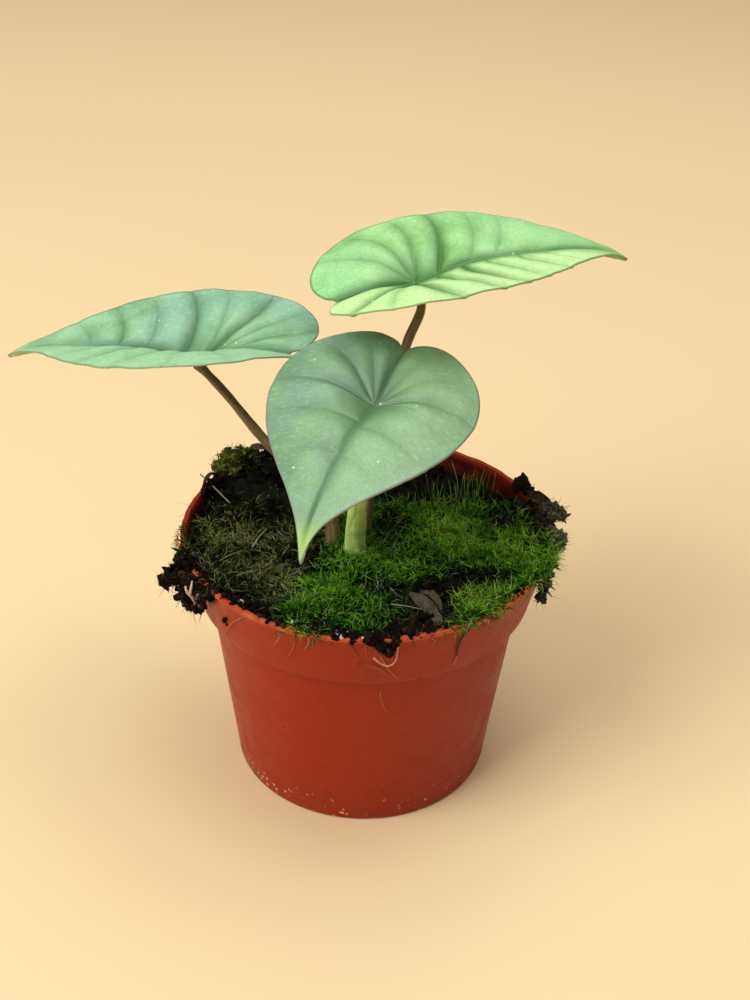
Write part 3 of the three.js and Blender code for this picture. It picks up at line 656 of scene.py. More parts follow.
class Shading:
    """A Principled material whose colour is laid on in coats. Sizes are in millimetres."""

    def __init__(self, name, roughness=0.5, specular=0.5):
        self.material = bpy.data.materials.new(name)
        self.material.use_nodes = True
        self.tree = self.material.node_tree
        self.shader = self.tree.nodes["Principled BSDF"]
        self.shader.inputs["Roughness"].default_value = roughness
        self.shader.inputs["Specular IOR Level"].default_value = specular
        self.base = self.bumped = None

    def node(self, kind, inputs=(), **settings):
        """A node with its settings, and values or sockets for its first inputs."""
        made = self.tree.nodes.new(kind)
        for key, value in settings.items():
            setattr(made, key, value)
        for socket, value in zip(made.inputs, inputs):
            self.feed(socket, value)
        return made

    def feed(self, socket, value):
        if isinstance(value, bpy.types.NodeSocket):
            self.tree.links.new(value, socket)
        elif isinstance(value, str):
            socket.default_value = (*linear(value), 1)
        else:
            socket.default_value = value

    def value(self, name):
        return self.node("ShaderNodeAttribute", attribute_name=name).outputs["Fac"]

    def place(self):
        return self.node("ShaderNodeTexCoord").outputs["Object"]

    def along(self, axis):
        """Place along an axis, in metres."""
        return self.node("ShaderNodeSeparateXYZ", [self.place()]).outputs[axis]

    def vector(self, x, y):
        return self.node("ShaderNodeCombineXYZ", [x, y]).outputs[0]

    def texture(self, kind, size, place, **settings):
        made = self.node(kind, [place or self.place()], **settings)
        made.inputs["Scale"].default_value = 1 / size if place else 1 / (size * MM)
        return made

    def noise(self, size, detail=3, place=None, roughness=0.5):
        """Noise whose features are about one size across."""
        made = self.texture("ShaderNodeTexNoise", size, place)
        made.inputs["Detail"].default_value = detail
        made.inputs["Roughness"].default_value = roughness
        return made.outputs["Fac"]

    def cells(self, size, feature="DISTANCE_TO_EDGE", place=None):
        return self.texture("ShaderNodeTexVoronoi", size, place, feature=feature).outputs["Distance"]

    def math(self, operation, a, b=0.0):
        return self.node("ShaderNodeMath", [a, b], operation=operation).outputs[0]

    def times(self, first, *factors):
        for factor in factors:
            first = self.math("MULTIPLY", first, factor)
        return first

    def fade(self, value, start, end, low=0.0, high=1.0):
        """Smooth change from low to high as the value goes from start to end."""
        ends = [value, start, end, low, high]
        return self.node("ShaderNodeMapRange", ends, interpolation_type="SMOOTHSTEP").outputs[0]

    def level(self, start, end, low=0.0, high=1.0, axis="Z"):
        """Smooth change from low to high between two heights, or between two places along another axis."""
        return self.fade(self.along(axis), start * MM, end * MM, low, high)

    def dots(self, spacing, edge, cloud, dense):
        """Round dots with a soft edge, only where a cloud of noise is dense."""
        dot = self.fade(self.cells(spacing, "F1"), *edge, 1, 0)
        return self.times(dot, self.fade(self.noise(*cloud), *dense))

    def mix(self, share, a, b):
        made = self.node("ShaderNodeMix", data_type="RGBA")
        for index, value in ((0, share), (6, a), (7, b)):
            self.feed(made.inputs[index], value)
        return made.outputs[2]

    def ramp(self, value, stops):
        made = self.node("ShaderNodeValToRGB", [value])
        stripes = made.color_ramp.elements
        while len(stripes) < len(stops):
            stripes.new(0.5)
        for stripe, (position, code) in zip(stripes, stops):
            stripe.position = position
            stripe.color = (*linear(code), 1)
        return made.outputs[0]

    def relief(self, height, distance, strength=1.0):
        """Lays a bump of the given depth over those before it."""
        made = self.node("ShaderNodeBump")
        made.inputs["Strength"].default_value = strength
        made.inputs["Distance"].default_value = distance * MM
        self.feed(made.inputs["Height"], height)
        if self.bumped:
            self.feed(made.inputs["Normal"], self.bumped)
        self.bumped = made.outputs[0]
        self.feed(self.shader.inputs["Normal"], self.bumped)

    def colour(self, socket):
        self.base = socket
        self.feed(self.shader.inputs["Base Color"], socket)

    def coat(self, share, colour):
        """Lays a colour over those before it."""
        self.colour(self.mix(share, self.base, colour))

    def roughness(self, socket):
        self.feed(self.shader.inputs["Roughness"], socket)


def pot_material():
    s = Shading("terracotta_plastic", roughness=0.45, specular=0.2)
    s.colour(s.mix(s.noise(14, 4), "#942505", "#9c2d0a"))
    s.coat(s.fade(s.noise(1.1, 3), 0.52, 0.75, 0, 0.25), "#a84a24")
    # Painted highlight on the top of the lip, in patches, strongest in front
    lip_highlight_patches = s.fade(s.noise(2.4, 4), 0.35, 0.6, 0.35, 0.9)
    s.coat(s.times(s.level(64, 65.2), lip_highlight_patches, s.level(0, -22, 0.15, 1, "Y")), "#c85c36")
    # Soil stains near the foot and on the collar
    s.coat(s.times(s.level(12, 0), s.fade(s.noise(3.2, 5), 0.5, 0.72), 0.7), "#5f3524")
    s.coat(s.times(s.fade(s.noise(5, 6), 0.62, 0.7), s.level(45, 60), 0.5), "#5c2c1b")
    # Grains of sand near the foot, and specks of soil
    s.coat(s.times(s.dots(1.7, (0.2, 0.26), (2.6, 2), (0.5, 0.54)), s.level(10, 3)), "#d9a483")
    s.coat(s.dots(3.7, (0.06, 0.1), (9, 2), (0.5, 0.55)), "#45180a")
    # Painted shade on the inside of the collar, uneven and deepest below the lip
    reach = s.math("SQRT", s.math("ADD", *(s.times(s.along(axis), s.along(axis)) for axis in "XY")))
    axis_radius = (COLLAR_FOOT_RADIUS - COLLAR_FOOT * COLLAR_SLOPE) * MM
    wall = s.math("ADD", s.times(s.along("Z"), COLLAR_SLOPE), axis_radius)
    inside = s.fade(s.math("SUBTRACT", wall, reach), 0.5 * MM, 0.9 * MM)
    patchy = s.fade(s.noise(3, 4), 0.3, 0.6, 0.6, 0.92)
    s.coat(s.times(inside, s.level(65.6, 64), s.level(50.5, 51.5), patchy), "#33130c")
    s.roughness(s.fade(s.noise(6, 4), 0.3, 0.7, 0.36, 0.52))
    s.relief(s.noise(0.5, 3), 0.03, 0.35)
    s.relief(s.noise(4, 2), 0.15, 0.4)
    return s.material


def grain_material(
    name, stops, size=0.8, jagged=0.65, shares=(0.5, 0.5), relief=(0.4, 0.8), roughness=0.8, specular=0.3,
):
    """For crumbs and lumps: grain and tone pick the colour."""
    s = Shading(name, roughness, specular)
    grain = s.noise(size, 5, roughness=jagged)
    s.colour(s.ramp(s.math("ADD", s.times(grain, shares[0]), s.times(s.value("tone"), shares[1])), stops))
    s.relief(grain, *relief)
    return s.material


def fibre_material(name, stops):
    """For strands: tone picks the colour, and painted shade darkens each strand towards its foot."""
    s = Shading(name, roughness=0.6, specular=0.18)
    s.colour(s.ramp(s.value("tone"), stops))
    s.coat(s.fade(s.value("tip"), 0.0, 1.0, 0.97, 0.0), "#050802")
    return s.material


def leaf_material(name):
    tints = LEAF_TINTS[name]
    shade = LEAF_SHADE[name]
    s = Shading(f"{name}_leaf", roughness=0.42, specular=0.5)
    ray, out, hub, along = (s.value(f"leaf_{key}") for key in ("ray", "out", "hub", "along"))
    s.colour(s.mix(s.fade(s.noise(9, 4), 0.35, 0.65), tints["deep"], tints["pale"]))
    s.coat(s.fade(s.noise(22, 2), 0.42, 0.62, 0, 0.8), tints["cool"])
    # Painted highlight: the sunny half is lighter away from the midrib
    s.coat(s.value("leaf_lit_share"), tints["lit_tint"])
    # Painted highlight on the tops of the puffs between the veins
    s.coat(s.fade(s.value("leaf_puff"), 0.45, 1.0, 0, 0.4), tints["bright"])
    # A net of fine veins between the large ones
    net = s.fade(s.cells(1, place=s.vector(s.times(ray, 5.5), s.times(out, 15))), 0.0, 0.16, 1, 0)
    s.coat(s.times(net, 0.16), tints["vein"])
    # Ripples that calm down towards the junction, with painted glints on their crests and painted shade in
    # their hollows
    waves = s.math("SUBTRACT", s.noise(1, 4, place=s.vector(s.times(ray, 22), s.times(out, 9))), 0.5)
    ripple = s.math("ADD", 0.5, s.times(s.fade(hub, 5.0, 16.0), waves))
    s.coat(s.fade(ripple, 0.5, 0.78, 0, 0.3), "#d3ebd0")
    s.coat(s.fade(ripple, 0.45, 0.22, 0, 0.25), tints["deep"])
    # Large veins, and painted shade in the troughs along them
    s.coat(s.times(s.value("leaf_trough_shade"), shade), tints["dark"])
    s.coat(s.times(s.value("leaf_line"), shade), tints["vein"])
    # Painted shade in the dimple round the junction
    s.coat(s.fade(hub, 11.0, 1.0, 0, 0.7), tints["dark"])
    # Tip and margin
    s.coat(s.fade(along, 0.52, 0.66, 0, 0.9), tints["tip"])
    s.coat(s.fade(along, 0.672, 0.69, 0, 0.95), tints["point"])
    s.coat(s.fade(s.value("leaf_rim"), 0.15, 0.5, 0.7, 0), tints["edge"])
    # Specks and glints
    s.coat(s.times(s.dots(2.4, (0.06, 0.1), (5, 1), (0.6, 0.62)), 0.7), "#33492f")
    s.coat(s.times(s.dots(3.1, (0.05, 0.1), (7, 1), (0.58, 0.6)), 0.8), "#eef6ea")
    s.coat(s.value("leaf_under"), tints["under"])
    s.roughness(s.fade(s.noise(3, 3), 0.3, 0.7, 0.36, 0.5))
    s.relief(net, 0.12, -0.5)
    s.relief(ripple, 0.2, 0.55)
    s.relief(s.noise(0.35, 2), 0.05, 0.4)
    s.shader.inputs["Subsurface Weight"].default_value = 0.12
    s.shader.inputs["Subsurface Radius"].default_value = (0.4 * MM, 0.9 * MM, 0.3 * MM)
    s.shader.inputs["Subsurface Scale"].default_value = 1.0
    return s.material


def rootlet_material():
    s = Shading("rootlets", roughness=0.5, specular=0.4)
    s.colour(s.ramp(s.value("tone"), ROOTLET_STOPS))
    s.coat(s.fade(s.noise(0.6, 3), 0.4, 0.65, 0, 0.35), "#5a3a28")
    s.relief(s.noise(0.3, 2), 0.05, 0.5)
    return s.material


def petiole_material(name, pale, deep, streak):
    s = Shading(name, roughness=0.42, specular=0.45)
    stripe = s.noise(1, 4, place=s.vector(s.times(s.value("tone"), 26), s.times(s.value("tip"), 3)))
    s.colour(s.mix(s.fade(stripe, 0.3, 0.7), deep, pale))
    s.coat(s.fade(s.noise(1.3, 4), 0.55, 0.7, 0, 0.5), streak)
    s.relief(stripe, 0.12, 0.5)
    s.relief(s.noise(0.4, 3), 0.05, 0.4)
    return s.material


# Pot

def collar_inside(height):
    return COLLAR_FOOT_RADIUS - WALL + (height - COLLAR_FOOT) * COLLAR_SLOPE


def wall_inside(height):
    return BASE_RADIUS - WALL + height * WALL_SLOPE


def rounded(corners, spacing=2):
    """A profile through (radius, height, rounding) corners, with arcs at them and points along it."""
    made = []
    for i, (radius, height, rounding) in enumerate(corners):
        here = np.array([radius, height], float)
        if not rounding:
            made.append(here)
            continue
        back, ahead = (unit(np.array(corners[k][:2], float) - here) for k in (i - 1, i + 1))
        for t in np.linspace(0, 1, 7):
            a = here + back * rounding * (1 - t)
            b = here + ahead * rounding * t
            made.append(a * (1 - t) + b * t)
    filled = [made[0]]
    for point in made[1:]:
        start = filled[-1]
        pieces = max(1, int(np.linalg.norm(point - start) / spacing))
        filled.extend(start + (point - start) * (k + 1) / pieces for k in range(pieces))
    return np.array(filled)


def turned(profile, segments):
    """Points and faces of a closed solid turned from a profile that starts and ends on the axis."""
    angle = circle(segments)
    inner = profile[1:-1]
    rings = np.stack([
        inner[:, :1] * np.cos(angle),
        inner[:, :1] * np.sin(angle),
        np.repeat(inner[:, 1:], segments, axis=1),
    ], axis=-1).reshape(-1, 3)
    count = len(rings)
    points = np.vstack([rings, [0, 0, profile[0, 1]], [0, 0, profile[-1, 1]]])
    ends = [fan(count, 0, segments), fan(count + 1, count - segments, segments, flip=True)]
    return points, [ring_faces(len(inner), segments), *ends]


def cut(piece, cutters):
    """Cuts closed cylinders out of a piece and leaves a plain mesh."""
    shape = bmesh.new()
    for place, radius, depth in cutters:
        bmesh.ops.create_cone(
            shape, cap_ends=True, segments=32, radius1=radius * MM, radius2=radius * MM, depth=depth * MM,
            matrix=Matrix.Translation([c * MM for c in place]),
        )
    mesh = bpy.data.meshes.new("drains")
    shape.to_mesh(mesh)
    shape.free()
    tool = bpy.data.objects.new("drains", mesh)
    bpy.context.scene.collection.objects.link(tool)
    modifier = piece.modifiers.new("drains", "BOOLEAN")
    modifier.object = tool
    modifier.solver = "EXACT"
    graph = bpy.context.evaluated_depsgraph_get()
    result = bpy.data.meshes.new_from_object(piece.evaluated_get(graph))
    piece.modifiers.clear()
    piece.data = result
    bpy.data.objects.remove(tool)
    bpy.data.meshes.remove(mesh)


def pot():
    ledge = COLLAR_FOOT + WALL
    recess = BASE_RADIUS - FOOT_RING_WIDTH
    profile = rounded([
        (0, 0, 0), (CENTRE_PAD_RADIUS, 0, 0.2), (CENTRE_PAD_RADIUS + DRAFT, FOOT_RECESS, 0.2),
        (recess, FOOT_RECESS, 0.2), (recess + DRAFT, 0, 0.2), (BASE_RADIUS, 0, 1),
        (WALL_TOP_RADIUS, COLLAR_FOOT, 1.1), (COLLAR_FOOT_RADIUS, COLLAR_FOOT, 1.1),
        (COLLAR_TOP_RADIUS, BEAD_FOOT, 0.3), (RIM_RADIUS, BEAD_FOOT + 0.3, 0.3),
        (RIM_RADIUS, POT_HEIGHT, 0.4), (collar_inside(POT_HEIGHT), POT_HEIGHT, 0.3),
        (collar_inside(ledge), ledge, 0.5), (wall_inside(ledge), ledge, 0.5),
        (wall_inside(FLOOR_TOP), FLOOR_TOP, 1), (0, FLOOR_TOP, 0),
    ])
    points, faces = turned(profile, POT_SEGMENTS)
    # The moulded lip is uneven, and the wall wavers a little
    lip = np.clip((points[:, 2] - BEAD_FOOT + 0.2) / BEAD_HEIGHT, 0, 1)
    radial = unit(points * (1, 1, 0))
    ragged = rough_noise(points * (1, 1, 0.3), 2.6, 21, 3)
    points = points - radial * (lip * LIP_WEAR * np.maximum(ragged + 0.2, 0))[:, None]
    points[:, 2] -= lip**2 * LIP_DIPS * np.maximum(rough_noise(points, 3.4, 31, 3), 0)
    wall = (points[:, 2] > 2) & (points[:, 2] < BEAD_FOOT)
    points -= radial * (wall * WALL_WAVER * (1 + smooth_noise(points, 11, 41)))[:, None]
    piece = add_piece(make_mesh("pot_fine", points, faces), pot_material(), ["pot"])
    cut(piece, [
        ((*polar((i + 0.5) / DRAIN_COUNT * 360, DRAIN_CIRCLE), FLOOR_TOP / 2), DRAIN_RADIUS, FLOOR_TOP * 3)
        for i in range(DRAIN_COUNT)
    ])


# Soil

def soil_height(x, y):
    """Height of the bare soil: a shallow dish with heaps at its edge, low at the back right."""
    dish = SOIL_LEVEL + SOIL_DISH * (np.hypot(x, y) / RIM_RADIUS) ** 4
    return dish + sum(rise * bump(x, y, *place) for rise, *place in SOIL_HEAPS)


def soil_fill():
    """Points and faces of the soil that fills the pot, with a crumbly top."""
    angle = circle(SOIL_SIDES)
    around = np.column_stack([np.cos(angle), np.sin(angle)])
    share = (np.arange(SOIL_RINGS) + 1) / SOIL_RINGS
    edge = collar_inside(soil_height(*(RIM_RADIUS * around).T)) - SOIL_GAP / 2
    flat = (share[:, None, None] * edge[None, :, None] * around).reshape(-1, 2)
    top = np.column_stack([flat, soil_height(*flat.T)])
    inward = np.clip((1 - np.repeat(share, SOIL_SIDES)) * SOIL_RINGS / 4, 0, 1)
    crumbly = 0.9 * rough_noise(top, 3.2, 5, 4) + 0.5 * np.abs(smooth_noise(top, 1.3, 15))
    top[:, 2] += crumbly * (0.3 + 0.7 * inward)
    ledge, floor = COLLAR_FOOT + WALL + SOIL_GAP, FLOOR_TOP + SOIL_GAP
    low = [
        np.column_stack([(inside(level) - SOIL_GAP) * around, np.full(SOIL_SIDES, level)])
        for inside, level in ((collar_inside, ledge), (wall_inside, ledge), (wall_inside, floor))
    ]
    points = np.vstack([top, *low, [0, 0, soil_height(0, 0)], [0, 0, floor]])
    count = len(points) - 2
    # The rings run outwards over the top, so the faces between them are turned over
    faces = np.vstack([
        split_quads(ring_faces(SOIL_RINGS + len(low), SOIL_SIDES))[:, ::-1],
        fan(count, 0, SOIL_SIDES, flip=True), fan(count + 1, count - SOIL_SIDES, SOIL_SIDES),
    ])
    return points, faces


def scattered(random, count, inside):
    """Random places over the pot's opening that the test keeps."""
    places = random.uniform(-MOSS_EDGE, MOSS_EDGE, (count, 2))
    return places[inside(*places.T)]


def bare_share(x, y):
    """Share of the soil that no moss covers."""
    covered = np.maximum(lush_region(x, y), dry_region(x, y))
    return np.clip(1 - covered / 3, 0, 1)


def on_pot(bearing, height, proud=0.3):
    """Place on the outside of the pot, or proud of it."""
    heights = [0, COLLAR_FOOT - 0.1, COLLAR_FOOT, BEAD_FOOT, BEAD_FOOT + 0.1]
    radii = [BASE_RADIUS, WALL_TOP_RADIUS, COLLAR_FOOT_RADIUS, COLLAR_TOP_RADIUS, RIM_RADIUS]
    x, y = polar(bearing, np.interp(height, heights, radii) + proud)
    return x, y, height


def lumps(heap, places, tone, seed, ragged=0.34, knobs=9):
    """Adds rough lumps, each given by its place and radius, with knobs that stick out of it."""
    random = np.random.default_rng(seed)
    core, knob = ball(3), ball(2)
    for *place, radius in places:
        shapes = [(core, np.array(place), radius * 0.78)]
        for outward in unit(random.normal(size=(knobs, 3))):
            size = radius * random.uniform(0.25, 0.5)
            shapes.append((knob, place + outward * (radius * 1.05 - size), size))
        for (points, faces), centre, size in shapes:
            at = points * size + centre
            swell = 1 + ragged * rough_noise(at, 1.7, seed, 3)
            tones = np.clip(tone + 0.35 * rough_noise(at, 1.6, seed + 9, 3) + random.normal(0, 0.08), 0, 1)
            heap.add(points * (size * swell)[:, None] + centre, faces, tones)


def picked(places, count, random):
    """Lumps picked at random: their centres and radii, and a direction out of each."""
    places = np.array(places, float)
    chosen = places[random.integers(0, len(places), count)]
    return chosen[:, :3], chosen[:, 3:], unit(random.normal(size=(count, 3)))


def flakes(heap, places, count, sizes, tones, random):
    """Adds thin bent flakes that stick to the surfaces of lumps, each turned its own way."""
    middles, radii, outward = picked(places, count, random)
    centres = middles + outward * radii * random.uniform(0.8, 1.1, (count, 1))
    points, faces = ball(2)
    for centre, size in zip(centres, random.uniform(*sizes, count)):
        turn = any_turn(random)
        rough = 1 + 0.5 * rough_noise(points[:, :2].repeat(2, 1)[:, :3] * 1.3 + centre, 0.9, 7, 2)
        shape = points * rough[:, None] * (1, random.uniform(0.35, 0.8), 0.12)
        bent, tilted = random.uniform(-0.5, 0.5), random.uniform(-0.4, 0.4)
        shape[:, 2] += bent * shape[:, 0] ** 2 + tilted * shape[:, 1]
        heap.add(shape @ turn.T * size + centre, faces, random.uniform(*tones))


def bristles(heap, places, count, lengths, widths, tones, random):
    """Adds fine fibres that stick out of lumps."""
    middles, radii, outward = picked(places, count, random)
    feet = middles + outward * radii * 0.75
    strands(heap, feet, unit(outward + random.normal(0, 0.5, (count, 3))), random.uniform(*lengths, count),
            random.uniform(*widths, count), unit(random.normal(size=(count, 3))) * 0.6,
            random.uniform(*tones, count), 4, 0.25, random)


def scrap(heap, points, widths, across, tone, thick=0.25, curl=0.3, wrinkled=0.35):
    """Adds a wrinkled strip of leaf along points, with half its width at each and a way across."""
    rings, sides = 30, 18
    path = smooth_path(points, rings)
    share = np.linspace(0, 1, rings)
    width = np.interp(share, np.linspace(0, 1, len(widths)), widths)[:, None]
    ahead = unit(np.gradient(path, axis=0))
    across = np.array(across, float)
    side = unit(across - ahead * (ahead @ across)[:, None])
    top = np.cross(ahead, side)
    angle = circle(sides)
    lift = thick * np.sin(angle) + curl * width * np.cos(angle) ** 2
    sideways = side[:, None] * (width * np.cos(angle))[..., None]
    shape = (path[:, None] + sideways + top[:, None] * lift[..., None]).reshape(-1, 3)
    wrinkle = wrinkled * rough_noise(shape, 1.8, 61, 2) * np.minimum(1, width.repeat(sides, 1).ravel())
    shape = shape + np.repeat(top, sides, axis=0) * wrinkle[:, None]
    heap.add(shape, tube_faces(rings, sides), tone, np.repeat(share, sides))


def studs(heap, places, count, sizes, random, level=(0, 1)):
    """Adds crumbs that stick to the surfaces of lumps."""
    middles, radii, outward = picked(places, count, random)
    sprinkle(heap, middles + outward * radii * random.uniform(0.85, 1.1, (count, 1)), sizes, level, random)


def root(heap, points, thick, thin, tone):
    """Adds one tapering root through points."""
    rings, sides = 24, 6
    share = np.linspace(0, 1, rings)
    shape, faces = tube(smooth_path(points, rings), thick + (thin - thick) * share, sides)
    heap.add(shape, faces, tone, np.repeat(share, sides))


def on_soil(spots, proud, random):
    """Spots set on the soil and a random bit above it."""
    return np.column_stack([spots, soil_height(*spots.T) + random.uniform(*proud, len(spots))])


def soil():
    random = np.random.default_rng(3)
    heap = Heap()
    heap.add(*soil_fill(), 0.3)
    bare = scattered(random, 2600, lambda x, y: (np.hypot(x, y) < CRUMB_EDGE) & (bare_share(x, y) > 0.5))
    sprinkle(heap, on_soil(bare, (0.1, 0.9), random), (0.35, 1.2), (0, 0.8), random)
    soil_look = grain_material(
        "potting_mix", SOIL_STOPS, 0.9, 0.7, (0.6, 0.55), (0.5, 0.9), roughness=0.9, specular=0.12,
    )
    heap.piece("potting_soil_fine", soil_look, "potting_mix", ["potting_soil"])
    spill = Heap()
    spilled = [(*polar(*place), height, radius) for *place, height, radius in SPILLED_SOIL]
    lumps(spill, LEFT_CLUMP, 0.62, 12)
    lumps(spill, RED_SOIL, 0.95, 14)
    lumps(spill, spilled, 0.25, 13)
    studs(spill, LEFT_CLUMP, 620, (0.2, 0.7), random, (0, 0.9))
    studs(spill, spilled, 300, (0.2, 0.6), random, (0, 0.9))
    flakes(spill, LEFT_CLUMP, 110, (0.8, 2.2), (0, 0.8), random)
    flakes(spill, spilled, 26, (0.6, 1.5), (0, 0.8), random)
    for start, end, count in RIM_DIRT:
        places = polar(random.uniform(start, end, count), random.uniform(*RIM_BAND, count))
        on_rim = np.column_stack([*places, random.uniform(*RIM_LEVELS, count)])
        sprinkle(spill, on_rim, (0.25, 0.9), (0, 0.9), random)
    for *place, width in DARK_PATCHES:
        spots = random.normal(place, width * 0.6, (60, 2))
        spots = spots[np.hypot(*spots.T) < CRUMB_EDGE]
        sprinkle(spill, on_soil(spots, (0.6, 2), random), (0.35, 1.1), (0, 0.8), random)
    stuck = [on_pot(bearing, height, 0.1) for bearing, height, _ in STUCK_CRUMBS]
    crumbs(spill, np.array(stuck), [radius for *_, radius in STUCK_CRUMBS], [0.1] * len(stuck), random)
    bearings, distances, heights = np.array(BEADS).T
    beads = np.column_stack([*polar(bearings, distances), heights])
    crumbs(spill, beads, random.uniform(0.4, 0.7, len(beads)), [WHITE_TONE] * len(beads), random)
    bristles(spill, LEFT_CLUMP, 420, (1, 3), (0.05, 0.13), (0.3, 1.2), random)
    bristles(spill, spilled, 130, (0.8, 2.6), (0.05, 0.11), (0.1, 1.0), random)
    spill.piece("soil_spill", soil_look, "potting_mix", ["potting_soil"])


def rootlets():
    """Fine roots on the collar and in the clump at the left."""
    heap = Heap()
    for thick, tone, points in POT_ROOTLETS:
        root(heap, [on_pot(*point) for point in points], thick, thick * 0.4, tone)
    for thick, tone, points in FREE_ROOTS:
        root(heap, points, thick, thick * 0.5, tone)
    heap.piece("rootlets", rootlet_material(), "root")


def right_rim():
    """Old moss, lichen and leaf litter along the right of the rim."""
    random = np.random.default_rng(14)
    heap = Heap()
    kinds = (RIGHT_LUMPS, 0.25, 1), (OLIVE_LUMPS, 0.75, 0.35), (LICHEN_LUMPS, 0.9, 0.35)
    for places, tone, share in kinds:
        lumps(heap, places, tone, 31)
        studs(heap, places, int(420 * share), (0.2, 0.6), random, (tone - 0.3, tone + 0.35))
        flakes(heap, places, int(90 * share), (0.7, 1.6), (tone - 0.3, tone + 0.3), random)
        bristles(heap, places, int(320 * share), (0.8, 2.2), (0.05, 0.11), (0.3, 0.95), random)
    look = grain_material("rim_crumb", CRUMB_STOPS)
    heap.piece("crumbs_right_rim_fine", look, "rim_crumb", ["crumbs_right_rim"])


def litter():
    """Scraps of dead leaf and straws."""
    heap = Heap()
    for tone, widths, across, points in SCRAPS:
        scrap(heap, points, widths, across, tone, 0.2)
    for thick, points in STRAWS:
        root(heap, points, thick, thick * 0.6, STRAW_TONE)
    heap.piece("litter", grain_material("litter", LITTER_STOPS), "rim_crumb")


def back_tuft():
    random = np.random.default_rng(15)
    heap = Heap()
    lumps(heap, BACK_LUMPS, 0.4, 41)
    studs(heap, BACK_LUMPS, 200, (0.25, 0.6), random)
    bristles(heap, BACK_LUMPS, 900, (0.6, 2.2), (0.06, 0.13), (0.2, 1.2), random)
    look = grain_material("bright_moss", TUFT_STOPS)
    heap.piece("moss_tuft_back_left_fine", look, "bright_moss", ["moss_tuft_back_left"])


def rootstock():
    """Material for the stem and roots inside the soil."""
    s = Shading("root", roughness=0.7, specular=0.3)
    s.colour(s.mix(s.fade(s.noise(2, 4), 0.4, 0.65), "#b59a74", "#6e5237"))
    s.relief(s.noise(0.7, 3), 0.15, 0.6)
    for holder in bpy.data.objects["rootstock"].material_slots:
        holder.material = s.material


# Blades

def outline(shares, blade, side):
    """Points of a blade's edge at shares of the way from the tip to the sinus."""
    curve = smooth_path(OUTLINE, 1201)
    along = np.linspace(0, 1, len(curve))
    u, v = (np.interp(shares, along, curve[:, k]) for k in range(2))
    return np.where(u < 0, u * blade["base"], u), np.maximum(v, 0) * blade["width"][side]


def midrib(blade, distance):
    """Place and slope of the bent midrib at distances along it."""
    steps = 24

    def slope_at(u):
        ahead = -blade["arch"] * u - blade["hook"] * np.maximum(u - HOOK_START, 0) ** 2
        return np.where(u > 0, ahead, -blade["heel"] * u)

    x, z = np.zeros_like(distance), np.zeros_like(distance)
    for i in range(steps):
        slope = slope_at(distance * (i + 0.5) / steps)
        x += np.cos(slope) * distance / steps
        z += np.sin(slope) * distance / steps
    return x, z, slope_at(distance)


def blade_points(blade, u, v, side, raised):
    """Places of a blade's points, given along and across it, raised off it by millimetres."""
    x0, z0, slope = midrib(blade, u)
    fold = blade["fold"][side] * (np.hypot(v, FOLD_SOFTNESS) - FOLD_SOFTNESS)
    dimple = blade["dimple"] * (1 - np.exp(-((np.hypot(u, v) / DIMPLE_RADIUS) ** 2)))
    height = fold - blade["crown"][side] * v * v + dimple + raised / blade["length"]
    x = x0 - height * np.sin(slope)
    rise = height * np.cos(slope)
    twist = np.radians(blade["twist"]) * u
    across = v if side == 0 else -v
    y = across * np.cos(twist) - rise * np.sin(twist) + blade["sickle"] * np.maximum(u, 0) ** 2
    z = across * np.sin(twist) + rise * np.cos(twist) + z0
    turn = Matrix.Rotation(math.radians(blade["heading"]), 3, "Z")
    turn = turn @ Matrix.Rotation(-math.radians(blade["pitch"]), 3, "Y")
    turn = turn @ Matrix.Rotation(math.radians(blade["roll"]), 3, "X")
    local = np.stack([x, y, z], axis=-1) * blade["length"]
    return local @ np.array(turn).T + np.array(blade["junction"])


def blade_rays(name):
    """Positions of the rays of both halves: spread evenly, and close together at each vein."""
    beside = np.array([-0.12, -0.04, 0, 0.04, 0.12])
    at_veins = (np.array([place for half in VEINS[name] for place, _ in half])[:, None] + beside).ravel()
    evenly = np.linspace(0, VEINS_PER_SIDE, VEINS_PER_SIDE * RAYS_PER_SECTOR + 1)
    return np.unique(np.round(np.clip(np.concatenate([evenly, at_veins]), 0, VEINS_PER_SIDE), 3))


